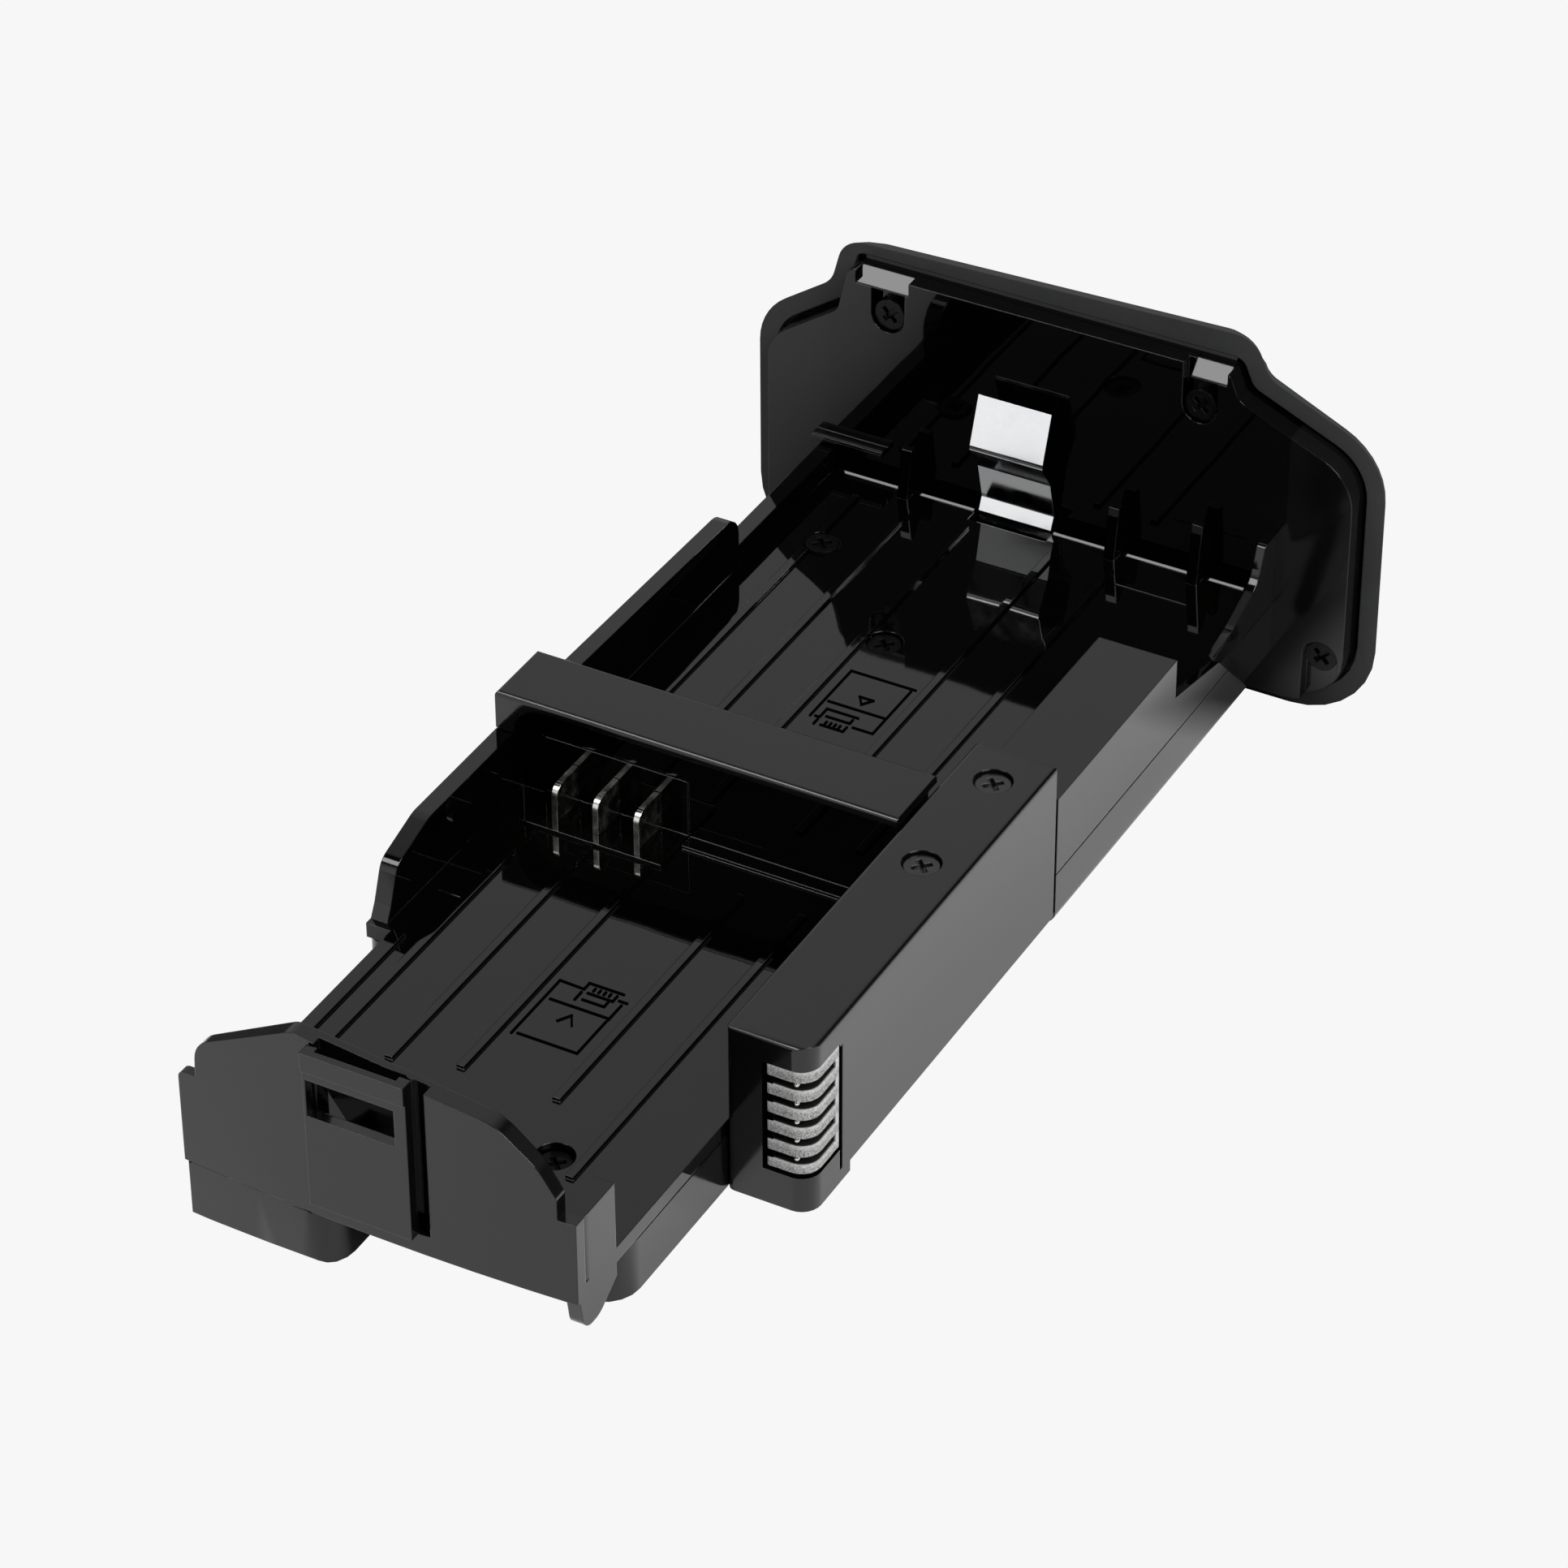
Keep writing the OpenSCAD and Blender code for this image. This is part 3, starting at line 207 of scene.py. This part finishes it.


# Materials: the record's slots, and three dull blacks of the scene's own: two are painted shade on sunk
# screws, one is for gaps and for painted shade on other faces

LOOKS = {
    # painted shade: darker, duller blacks for the screws that lie in recesses
    "recess_shade_black": dict(dark=(0.001, 0.001, 0.001), light=(0.004, 0.004, 0.004), rough=(0.2, 0.35),
                         grain=0.1, depth=0.002, smudge=0.8, sheen=0.2),
    "hole_shade_black": dict(dark=(0.001, 0.001, 0.001), light=(0.003, 0.003, 0.003), rough=(0.2, 0.35),
                       grain=0.1, depth=0.002, smudge=0.8, sheen=0.06),
    # a dull black with no gloss for gaps, and as painted shade on the pictograms, the gussets' fronts and
    # the pocket lip
    "gap_and_shade_black": dict(dark=(0.0004, 0.0004, 0.0004), light=(0.001, 0.001, 0.001), rough=(0.5, 0.7),
                       sheen=0.0),
    "satin_black": dict(dark=(0.0012, 0.0013, 0.0012), light=(0.0032, 0.0034, 0.0032), rough=(0.08, 0.15),
                        grain=0.2, depth=0.0034, smudge=9.0),
    "matte_black": dict(dark=(0.024, 0.0245, 0.0242), light=(0.04, 0.041, 0.0405), rough=(0.52, 0.64),
                        grain=0.24, depth=0.008, smudge=11.0, sheen=0.2),
    "plated": dict(dark=(0.5, 0.49, 0.46), light=(0.82, 0.81, 0.78), rough=(0.12, 0.3),
                   grain=0.08, depth=0.001, smudge=1.4, metal=1.0, edge=0.06),
    "strip_brass": dict(dark=(0.45, 0.3, 0.12), light=(0.66, 0.5, 0.25), rough=(0.2, 0.4),
                        grain=0.1, depth=0.002, smudge=2.0, metal=1.0),
    "board": dict(dark=(0.01, 0.07, 0.03), light=(0.02, 0.12, 0.05), rough=(0.25, 0.4),
                  grain=0.2, depth=0.004, smudge=3.0),
    "spring_steel": dict(dark=(0.62, 0.63, 0.64), light=(0.86, 0.87, 0.88), rough=(0.06, 0.16),
                         grain=0.12, depth=0.0004, smudge=2.5, metal=1.0, edge=0.05),
    "zinc": dict(dark=(0.38, 0.38, 0.37), light=(0.55, 0.55, 0.54), rough=(0.3, 0.5),
                 grain=0.15, depth=0.006, smudge=2.0, metal=1.0),
    "screw_black": dict(dark=(0.003, 0.003, 0.003), light=(0.012, 0.012, 0.0115), rough=(0.12, 0.26),
                        grain=0.1, depth=0.002, smudge=0.8),
}
# the tray's polished inside
POLISHED = dict(dark=(0.0002, 0.0002, 0.0002), light=(0.0009, 0.0009, 0.0008), rough=(0.015, 0.04),
                grain=0.6, depth=0.0003, smudge=22.0, warp=0.03)


def outside(tree, where):
    """1 on the satin outer faces of the tray: its front, its two long sides and its underside."""
    front_x = X_FRONT_IN - 0.05
    side_y = Y_RIGHT + 0.12
    under_z = BASE_TOP - 0.1
    xyz = put(tree, "ShaderNodeSeparateXYZ", Vector=where)
    front = calc(tree, "LESS_THAN", xyz.outputs["X"], front_x * MM)
    right = calc(tree, "LESS_THAN", xyz.outputs["Y"], side_y * MM)
    left = calc(tree, "GREATER_THAN", xyz.outputs["Y"], -side_y * MM)
    under = calc(tree, "LESS_THAN", xyz.outputs["Z"], under_z * MM)
    return calc(tree, "MAXIMUM", calc(tree, "MAXIMUM", front, right), calc(tree, "MAXIMUM", left, under))


def tray_material():
    """Polished inside, satin outside."""
    mat, tree, out = graph("gloss_black")
    inner, where = surface(tree, **POLISHED)
    outer = surface(tree, **LOOKS["satin_black"])[0]
    mix_shaders(tree, outside(tree, where), inner, outer, out)
    return mat


def comb_depth(tree, where):
    """How far a point lies in from the comb's outer faces and its rounded corner, in metres."""
    xyz = put(tree, "ShaderNodeSeparateXYZ", Vector=where)
    middle_x = (X_COMB + CORNER_R) * MM
    middle_y = (Y_RIGHT + CORNER_R) * MM
    across = calc(tree, "MAXIMUM", calc(tree, "SUBTRACT", middle_x, xyz.outputs["X"]), 0.0)
    along = calc(tree, "MAXIMUM", calc(tree, "SUBTRACT", middle_y, xyz.outputs["Y"]), 0.0)
    reach = calc(tree, "SQRT", calc(tree, "ADD", calc(tree, "MULTIPLY", across, across),
                                    calc(tree, "MULTIPLY", along, along)))
    return calc(tree, "SUBTRACT", CORNER_R * MM, reach)


def comb_material():
    """Light grey moulding with fine specks, with painted shade in the slots between its fins and a
    painted highlight along each fin's upper edge.
    """
    low_grey = (0.08, 0.08, 0.08)
    high_grey = (0.4, 0.4, 0.395)
    slot_shade = (0.004, 0.004, 0.004)
    speck_size = 0.11
    speck_depth = 0.012
    fleck_size = 0.16
    mat, tree, out = graph("comb_grey")
    where = tree.nodes.new("ShaderNodeTexCoord").outputs["Object"]
    speck = put(tree, "ShaderNodeTexVoronoi", Scale=1.0 / (speck_size * MM), Vector=where)
    fleck = noise(tree, where, fleck_size)
    # painted highlight: each fin is lighter along its upper edge
    xyz = put(tree, "ShaderNodeSeparateXYZ", Vector=where)
    height = calc(tree, "SUBTRACT", xyz.outputs["Z"], COMB_Z * MM)
    step = calc(tree, "FRACT", calc(tree, "DIVIDE", height, COMB_PITCH * MM))
    fin_highlight = spread(tree, step, 0.0, 0.45, start=0.3, end=0.52)
    light = calc(tree, "ADD", spread(tree, fleck, 0.0, 0.8, start=0.36, end=0.64), fin_highlight)
    face = colour_mix(tree, light, low_grey, high_grey)
    # painted shade: deeper than 0.2 mm in from the comb's outer faces, the slots turn near black
    inside = spread(tree, comb_depth(tree, where), 0.0, 1.0, start=0.03 * MM, end=0.2 * MM)
    tone = colour_mix(tree, inside, face, slot_shade)
    bump = put(tree, "ShaderNodeBump", Strength=0.7, Distance=speck_depth * MM,
               Height=speck.outputs["Distance"])
    node = put(tree, "ShaderNodeBsdfPrincipled", Base_Color=tone, Roughness=spread(tree, fleck, 0.3, 0.6),
               Normal=bump.outputs["Normal"])
    tree.links.new(node.outputs["BSDF"], out.inputs["Surface"])
    return mat


MATERIALS = {name: simple(name, look) for name, look in LOOKS.items()}
MATERIALS["gloss_black"] = tray_material()
MATERIALS["comb_grey"] = comb_material()

# painted shade: screws that lie in recesses take a darker, duller black than their slot's
SHADED_SCREWS = {"cap_screws": "recess_shade_black", "floor_screws": "hole_shade_black"}
for part in frame["record"]["subparts"]:
    piece = nodes[part["node"]]
    piece.data.materials.clear()
    look = SHADED_SCREWS.get(part["node"], part["material_slot"])
    piece.data.materials.append(MATERIALS[look])


# Shading: the faces of the exact model are joined and shaded smooth up to a limit angle

def smooth_by_angle(limit):
    """Modifier tree that shades edges flatter than limit smooth."""
    tree = bpy.data.node_groups.new("smooth_by_angle", "GeometryNodeTree")
    tree.interface.new_socket("Geometry", in_out="INPUT", socket_type="NodeSocketGeometry")
    tree.interface.new_socket("Geometry", in_out="OUTPUT", socket_type="NodeSocketGeometry")
    start = tree.nodes.new("NodeGroupInput")
    end = tree.nodes.new("NodeGroupOutput")
    angle = tree.nodes.new("GeometryNodeInputMeshEdgeAngle")
    flat = tree.nodes.new("FunctionNodeCompare")
    flat.data_type = "FLOAT"
    flat.operation = "LESS_EQUAL"
    flat.inputs["B"].default_value = math.radians(limit)
    faces = tree.nodes.new("GeometryNodeSetShadeSmooth")
    faces.domain = "FACE"
    edges = tree.nodes.new("GeometryNodeSetShadeSmooth")
    edges.domain = "EDGE"
    tree.links.new(angle.outputs["Unsigned Angle"], flat.inputs["A"])
    tree.links.new(start.outputs[0], faces.inputs["Geometry"])
    tree.links.new(faces.outputs[0], edges.inputs["Geometry"])
    tree.links.new(flat.outputs["Result"], edges.inputs["Shade Smooth"])
    tree.links.new(edges.outputs[0], end.inputs[0])
    return tree


SMOOTH_LIMIT = 38
BY_ANGLE = smooth_by_angle(SMOOTH_LIMIT)


def shade(piece):
    """Joins a piece's faces and evens out its normals."""
    weld = piece.modifiers.new("weld", "WELD")
    weld.merge_threshold = 0.0008 * MM
    smooth = piece.modifiers.new("smooth", "NODES")
    smooth.node_group = BY_ANGLE
    even = piece.modifiers.new("even", "WEIGHTED_NORMAL")
    even.weight = 100
    even.keep_sharp = True


for piece in nodes.values():
    shade(piece)


# Mesh helpers for the added details

def add_mesh(name, bm, slot, body):
    """A new piece made from bm that rides on body; without a slot it takes a dull black for gaps and
    painted shade.
    """
    mesh = bpy.data.meshes.new(name)
    bm.to_mesh(mesh)
    bm.free()
    piece = bpy.data.objects.new(name, mesh)
    bpy.context.scene.collection.objects.link(piece)
    mesh.materials.append(MATERIALS[slot or "gap_and_shade_black"])
    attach(piece, body)
    return piece


def bar(bm, a, b, width, z0, z1):
    """A level bar between two heights, from a to b and half its width past both, (x, y) in mm."""
    a = Vector(a)
    b = Vector(b)
    along = (b - a).normalized()
    across = Vector((-along.y, along.x)) * width / 2
    reach = along * width / 2
    ring = [a - reach - across, b + reach - across, b + reach + across, a - reach + across]
    low = [bm.verts.new((p.x * MM, p.y * MM, z0 * MM)) for p in ring]
    high = [bm.verts.new((p.x * MM, p.y * MM, z1 * MM)) for p in ring]
    bm.faces.new(low[::-1])
    bm.faces.new(high)
    for i in range(4):
        j = (i + 1) % 4
        bm.faces.new((low[i], low[j], high[j], high[i]))


def line(bm, points, width, z0, z1):
    """Level bars through a row of points."""
    for a, b in zip(points, points[1:]):
        bar(bm, a, b, width, z0, z1)


def prism(bm, outline, y0, y1):
    """A bar along Y whose section is an outline in X and Z."""
    ends = [[bm.verts.new(Vector((x, y, z)) * MM) for x, z in outline] for y in (y0, y1)]
    bm.faces.new(ends[0])
    bm.faces.new(list(reversed(ends[1])))
    for i in range(len(outline)):
        j = (i + 1) % len(outline)
        bm.faces.new((ends[0][j], ends[0][i], ends[1][i], ends[1][j]))
    bmesh.ops.recalc_face_normals(bm, faces=bm.faces)


def arc(cx, cy, r, a0, a1, steps):
    """Points on a circle from angle a0 to a1 in degrees."""
    turns = [math.radians(a0 + (a1 - a0) * i / steps) for i in range(steps + 1)]
    return [(cx + r * math.cos(t), cy + r * math.sin(t)) for t in turns]


def round_path(corners, steps=10):
    """Points along a line through corners of (x, z, radius), with its bends rounded."""
    path = [Vector(corners[0][:2])]
    for i in range(1, len(corners) - 1):
        a, b, c = (Vector(corners[i + n][:2]) for n in (-1, 0, 1))
        into = (b - a).normalized()
        away = (c - b).normalized()
        half = into.angle(away) / 2
        reach = corners[i][2] * math.tan(half)
        start = b - into * reach
        end = b + away * reach
        for n in range(steps + 1):
            f = n / steps
            # quadratic bend through the corner
            path.append(start * (1 - f) ** 2 + b * 2 * f * (1 - f) + end * f ** 2)
    path.append(Vector(corners[-1][:2]))
    return path


def strip(path, t):
    """Outline of a strip of thickness t along a path."""
    sides = []
    for i, p in enumerate(path):
        along = (path[min(i + 1, len(path) - 1)] - path[max(i - 1, 0)]).normalized()
        across = Vector((-along.y, along.x)) * t / 2
        sides.append((p + across, p - across))
    return [q for q, _ in sides] + [q for _, q in reversed(sides)]


# Raised marks on the floors start a little below the surface and end above it
MARK_LOW = FLOOR_Z - 0.05
MARK_TOP = FLOOR_Z + 0.1


# Raised pictograms on the floors: a camera pack with its contacts, and an arrow towards the divider.
# Their strokes take a dull black, painted shade.

PICTOGRAM_LINE = 0.22
NEAR_PACK = [
    [(-22.8, 5.8), (-31.5, 5.8)],
    [(-31.3, 5.25), (-31.3, -0.95), (-26.1, -0.95)],
    [(-25.8, -1.0), (-23.4, -1.0)],
    [(-25.6, 5.2), (-25.6, -0.9)],
    [(-22.8, 5.8), (-22.9, 3.2), (-21.9, 3.2), (-21.9, -0.4)],
    [(-22.9, -0.5), (-22.9, -1.3)],
    [(-24.6, 3.2), (-23.4, 3.2)],
    [(-23.25, 2.6), (-23.25, 0.0), (-22.4, 0.0)],
    [(-24.3, 2.55), (-24.3, 0.3), (-23.6, 0.3)],
    [(-28.05, 3.0), (-26.8, 2.25), (-28.05, 1.5)],
]
FAR_PACK = [
    [(24.8, 5.55), (33.3, 5.55), (33.3, -1.55)],
    [(32.9, -1.25), (27.9, -1.25)],
    [(27.7, 5.1), (27.7, -1.25), (24.9, -1.25), (24.9, 0.9)],
    [(25.1, 4.6), (26.5, 4.6), (26.5, 1.2)],
    [(25.35, 4.05), (25.35, 1.5), (26.0, 1.5)],
    [(24.95, 5.05), (24.95, 4.65)],
    [(23.75, 4.6), (24.55, 4.6)],
    [(23.85, 3.9), (23.85, 1.45), (24.65, 1.45)],
    [(29.8, 2.75), (29.8, 1.25), (28.7, 2.0), (29.8, 2.75)],
]
# the contacts, drawn as short bars at these places along Y and between these along X
NEAR_PINS = [2.3, 1.75, 1.2, 0.65]
NEAR_PINS_X = (-22.75, -22.4)
FAR_PINS = [3.6, 3.1, 2.6, 2.1]
FAR_PINS_X = (24.15, 24.55)


def pictogram(name, strokes, pins, pins_x):
    bm = bmesh.new()
    pin_strokes = [[(pins_x[0], y), (pins_x[1], y)] for y in pins]
    for points in strokes + pin_strokes:
        line(bm, points, PICTOGRAM_LINE, MARK_LOW, MARK_TOP)
    # no slot: the strokes are painted dull black to stand for the shade on them
    return add_mesh(name, bm, None, "tray")


pictogram("near_pictogram", NEAR_PACK, NEAR_PINS, NEAR_PINS_X)
pictogram("far_pictogram", FAR_PACK, FAR_PINS, FAR_PINS_X)


# Thin raised lines on the floor

THIN_LINE = 0.16
# edge of a pad by the near wing, and a step before the gussets
PAD_EDGE = [(-25.2, 19.6), (-16.4, 19.6), (-16.4, 22.6)]
STEP_EDGE = [(59.2, -10.6), (59.2, -18.4)]


def floor_lines():
    bm = bmesh.new()
    for points in (PAD_EDGE, STEP_EDGE):
        line(bm, points, THIN_LINE, MARK_LOW, MARK_TOP)
    return add_mesh("floor_lines", bm, "gloss_black", "tray")


floor_lines()


# Rounded contact bump in each slot of the terminal comb

def contact_bumps():
    bm = bmesh.new()
    radius = 0.3
    x = X_COMB + 0.5
    y = Y_RIGHT + 1.65
    for i in range(SLOTS):
        z = COMB_Z + FIN_T + SLOT_H / 2 + i * COMB_PITCH
        place = Matrix.Translation(Vector((x, y, z)) * MM)
        bmesh.ops.create_uvsphere(bm, u_segments=20, v_segments=12, radius=radius * MM, matrix=place)
    for face in bm.faces:
        face.smooth = True
    return add_mesh("contact_bumps", bm, "plated", "tray")


contact_bumps()


# Dark gaps round the terminal comb and at its slots' ends, drawn as thin strips on the housing's faces

def comb_gaps():
    bm = bmesh.new()
    width = 0.1
    inset = 0.04
    past = 0.3
    x = X_COMB + inset
    y = Y_RIGHT + inset
    end_y = Y_RIGHT + COMB_Y
    low = COMB_Z - 0.35
    # below the comb, round its corner
    corner = arc(X_COMB + CORNER_R, Y_RIGHT + CORNER_R, CORNER_R - inset, 180, 270, 12)
    path = [(x, end_y), *corner, (X_COMB + COMB_X + past, y)]
    line(bm, path, width, low, COMB_Z + 0.01)
    # beside it on the front face
    bar(bm, (x, end_y - 0.05), (x, end_y + 0.12), width, low, COMB_Z + COMB_H)
    # at the end of each slot
    for i in range(SLOTS):
        z = COMB_Z + FIN_T + i * COMB_PITCH
        bar(bm, (x, end_y - 0.85), (x, end_y - 0.33), width, z, z + SLOT_H)
    return add_mesh("comb_gaps", bm, None, "tray")


comb_gaps()


# Rise over run of the polished chamfers that catch the upper left box
SLOPE = math.tan(math.radians(45))


# Slanted lands in the cap plate's top edge, and the moulded strip that closes the groove between them

LANDS_Y = [(16.65, 22.55), (-18.75, -14.85)]
GROOVE_Y = (-18.5, 22.8)


def cap_lands():
    bm = bmesh.new()
    rise = 1.5
    front = X_PLATE + 0.02
    run = rise / SLOPE
    low = PLATE_TOP - 0.3
    top = PLATE_TOP - 0.02
    section = [(front, PLATE_TOP - rise), (X_PLATE + run, top), (X_RIM, top), (X_RIM, low)]
    for y0, y1 in LANDS_Y:
        prism(bm, section, y0, y1)
    return add_mesh("cap_lands", bm, "gloss_black", "tray")


def groove_strip():
    bm = bmesh.new()
    back = X_RIM + 0.8
    low = PLATE_TOP - 0.05
    top = PLATE_TOP + 0.45
    prism(bm, [(X_RIM, low), (X_RIM, top), (back, top), (back, low)], *GROOVE_Y)
    return add_mesh("groove_strip", bm, "matte_black", "tray")


cap_lands()
groove_strip()


# Low bead along the far end of the floor, left open where the rear spring comes through

BEAD_Y = (-22.4, 23.6)


def floor_bead():
    bm = bmesh.new()
    rise = 0.24
    edge = X_FLOOR_END - 0.1
    back = X_FLOOR_END - 0.02
    top = FLOOR_Z + rise
    half_gap = SPRING_W / 2 + 0.4
    section = [(edge - rise / SLOPE, FLOOR_Z - 0.02), (edge, top), (back, top), (back, FLOOR_Z - 0.1)]
    for y0, y1 in ((BEAD_Y[0], BAY_MID - half_gap), (BAY_MID + half_gap, BEAD_Y[1])):
        prism(bm, section, y0, y1)
    return add_mesh("floor_bead", bm, "gloss_black", "tray")


floor_bead()


# Chamfer on the level rib beside the left rail

RIB_Y = (18.9, 26.9)


def rib_chamfer():
    bm = bmesh.new()
    rise = 0.3
    front = RIB_X - 0.03
    back = RIB_X + 0.6
    low = RIB_TOP - rise
    top = RIB_TOP + 0.02
    prism(bm, [(front, low), (front + rise / SLOPE, top), (back, top), (back, low)], *RIB_Y)
    return add_mesh("rib_chamfer", bm, "gloss_black", "tray")


rib_chamfer()


# Painted shade: dull black sheets on the gussets' fronts, which leave their upper ends bright

def gusset_front_shade():
    bm = bmesh.new()
    bare = 0.9
    right = 0.48
    left = 0.6
    front = GUSSET_X - 0.03
    back = GUSSET_X + 0.1
    for y, high in GUSSETS:
        run = GUSSET_LEAN * (high - bare) / high
        top = FLOOR_Z + high - bare
        section = [(front, FLOOR_Z), (front + run, top), (back + run, top), (back, FLOOR_Z)]
        prism(bm, section, y - right, y + left)
    return add_mesh("gusset_front_shade", bm, None, "tray")


gusset_front_shade()


# Rear spring, with the kink it has at the level of the floor

# corners of its middle line from the root to the tip, as (x, z, radius of the bend)
SPRING_CORNERS = [
    (65.25, 1.8, 0.0),
    (65.25, 6.3, 0.5),
    (64.68, 7.55, 0.3),
    (65.4, 9.15, 0.5),
    (64.3, 13.6, 1.2),
    (62.3, 16.5, 0.8),
    (64.2, 21.9, 0.0),
]


def rear_spring():
    bm = bmesh.new()
    outline = strip(round_path(SPRING_CORNERS), SPRING_T)
    prism(bm, [(p.x, p.y) for p in outline], BAY_MID - SPRING_W / 2, BAY_MID + SPRING_W / 2)
    piece = add_mesh("rear_spring_strip", bm, "spring_steel", "rear_spring")
    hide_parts("rear_leaf_spring")
    shade(piece)
    return piece


rear_spring()


# Painted shade: a dull black lip over the front spring's root, in the slot at the top of the front wall,
# that keeps the slot dark

def pocket_shade_lip():
    bm = bmesh.new()
    x = X_FRONT_IN - 1.9
    near = x - 0.05
    face = x + 0.14
    far = x + 0.95
    low = 23.0
    under = 24.56
    top = 24.72
    half = 4.2
    section = [(near, low), (face, low), (face, under), (far, under), (far, top), (near, top)]
    prism(bm, section, BAY_MID - half, BAY_MID + half)
    return add_mesh("pocket_shade_lip", bm, None, "tray")


pocket_shade_lip()


# Stage: to the camera a plain white floor and room, to the object a pale floor and a dark room with cards

PAPER = (0.93, 0.93, 0.93, 1.0)
FLOOR_HALF = 6.0
FLOOR_DROP = 0.0004
# how light the paper stays in the deepest of its painted shade
SHADE_LEVEL = 0.12
ROOM_LEVEL = 0.02
# pale cards, as (direction, level, cosines that the edge fades between)
CARDS = [
    # high behind the cap
    ((0.7078, 0.3885, 0.59), 0.6, 0.72, 0.88),
    # low on the left
    ((-0.91, 0.39, 0.12), 1.1, 0.84, 0.97),
    # high on the right
    ((0.2, -0.8, 0.57), 0.4, 0.82, 0.97),
]


def patch(tree, xyz, side, start):
    """A patch of painted shade on the paper about the X axis: side and start are what its edges fade
    between.
    """
    off = calc(tree, "ABSOLUTE", xyz.outputs["Y"])
    return calc(tree, "MAXIMUM", spread(tree, off, SHADE_LEVEL, 1.0, *side),
                spread(tree, xyz.outputs["X"], 1.0, SHADE_LEVEL, *start))


def paper_tone(tree):
    """Painted shade on the paper, which the object's own surfaces mirror: how light it is from place to
    place.
    """
    where = tree.nodes.new("ShaderNodeTexCoord").outputs["Object"]
    xyz = put(tree, "ShaderNodeSeparateXYZ", Vector=where)
    # painted shade: it falls off into the dark beyond the cap and the winged side
    beyond = calc(tree, "ADD", xyz.outputs["X"], xyz.outputs["Y"])
    tone = spread(tree, beyond, 0.88, 0.08, start=0.03, end=0.2)
    # painted shade: it is a little greyer before the front wall
    before = spread(tree, xyz.outputs["X"], 0.82, 1.0, start=-0.075, end=-0.04)
    tone = calc(tree, "MULTIPLY", tone, before)
    # and painted shadow darkens it under the far half of the tray and at the foot of the cap
    under_tray = patch(tree, xyz, (0.022, 0.028), (0.02, 0.045))
    cap_foot = patch(tree, xyz, (0.034, 0.04), (0.058, 0.066))
    return calc(tree, "MULTIPLY", tone, calc(tree, "MULTIPLY", under_tray, cap_foot))


def stage_floor():
    mesh = bpy.data.meshes.new("stage_floor")
    half = FLOOR_HALF
    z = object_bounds()[0][2] - FLOOR_DROP
    corners = [(-half, -half, z), (half, -half, z), (half, half, z), (-half, half, z)]
    mesh.from_pydata(corners, [], [(0, 1, 2, 3)])
    floor = bpy.data.objects.new("stage_floor", mesh)
    bpy.context.scene.collection.objects.link(floor)
    mat, tree, out = graph("paper")
    path = tree.nodes.new("ShaderNodeLightPath")
    seen = put(tree, "ShaderNodeEmission", Color=PAPER, Strength=1.0)
    lit = put(tree, "ShaderNodeBsdfDiffuse", Color=paper_tone(tree), Roughness=0.5)
    mix_shaders(tree, path.outputs["Is Camera Ray"], lit.outputs[0], seen.outputs[0], out)
    mesh.materials.append(mat)
    floor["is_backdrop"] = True


def card(tree, where, axis, level, start, end):
    """A soft round card in the direction axis; start and end are the cosines its edge fades between."""
    toward = tree.nodes.new("ShaderNodeVectorMath")
    toward.operation = "DOT_PRODUCT"
    tree.links.new(where, toward.inputs[0])
    toward.inputs[1].default_value = Vector(axis).normalized()
    return spread(tree, toward.outputs["Value"], 0.0, level, start, end)


def stage_world():
    world = bpy.data.worlds.new("studio")
    bpy.context.scene.world = world
    world.use_nodes = True
    tree = world.node_tree
    tree.nodes.clear()
    out = tree.nodes.new("ShaderNodeOutputWorld")
    path = tree.nodes.new("ShaderNodeLightPath")
    seen = put(tree, "ShaderNodeBackground", Color=PAPER, Strength=1.0)
    where = tree.nodes.new("ShaderNodeTexCoord").outputs["Generated"]
    level = ROOM_LEVEL
    for axis, most, start, end in CARDS:
        level = calc(tree, "ADD", card(tree, where, axis, most, start, end), level)
    lit = put(tree, "ShaderNodeBackground", Color=level, Strength=1.0)
    mix_shaders(tree, path.outputs["Is Camera Ray"], lit.outputs[0], seen.outputs[0], out)


def softbox(name, place, aim, size, power):
    """A square area light at place that faces aim, both in metres."""
    light = bpy.data.lights.new(name, "AREA")
    light.shape = "SQUARE"
    light.size = size
    light.energy = power
    lamp = bpy.data.objects.new(name, light)
    bpy.context.scene.collection.objects.link(lamp)
    lamp.location = place
    lamp.rotation_euler = (Vector(aim) - Vector(place)).to_track_quat("-Z", "Y").to_euler()
    lamp.visible_camera = False


stage_floor()
stage_world()
softbox("upper_left_box", place=(-0.57, 0.444, 0.943), aim=(0.06, 0.0, 0.02), size=0.42, power=3.9)
softbox("key_box", place=(-0.25, -0.9, 1.05), aim=(0.0, -0.1, 0.0), size=0.8, power=29.0)


# Camera at the photograph's angle, solved from straight edges in the photograph

CAMERA_PLACE = (-0.3831, -0.2154, 0.3383)
CAMERA_AHEAD = (0.7078, 0.3885, -0.59)
CAMERA_RIGHT = (0.479, -0.8778, -0.0034)


def photo_camera():
    data = bpy.data.cameras.new("photo_camera")
    data.sensor_width = 36.0
    data.lens = 134.6
    data.clip_start = 0.01
    camera = bpy.data.objects.new("photo_camera", data)
    bpy.context.scene.collection.objects.link(camera)
    back = -Vector(CAMERA_AHEAD).normalized()
    side = Vector(CAMERA_RIGHT)
    side = (side - back * side.dot(back)).normalized()
    turn = Matrix((side, back.cross(side), back)).transposed().to_4x4()
    camera.matrix_world = Matrix.Translation(CAMERA_PLACE) @ turn
    bpy.context.scene.camera = camera


photo_camera()
bpy.context.scene.view_settings.view_transform = "Standard"
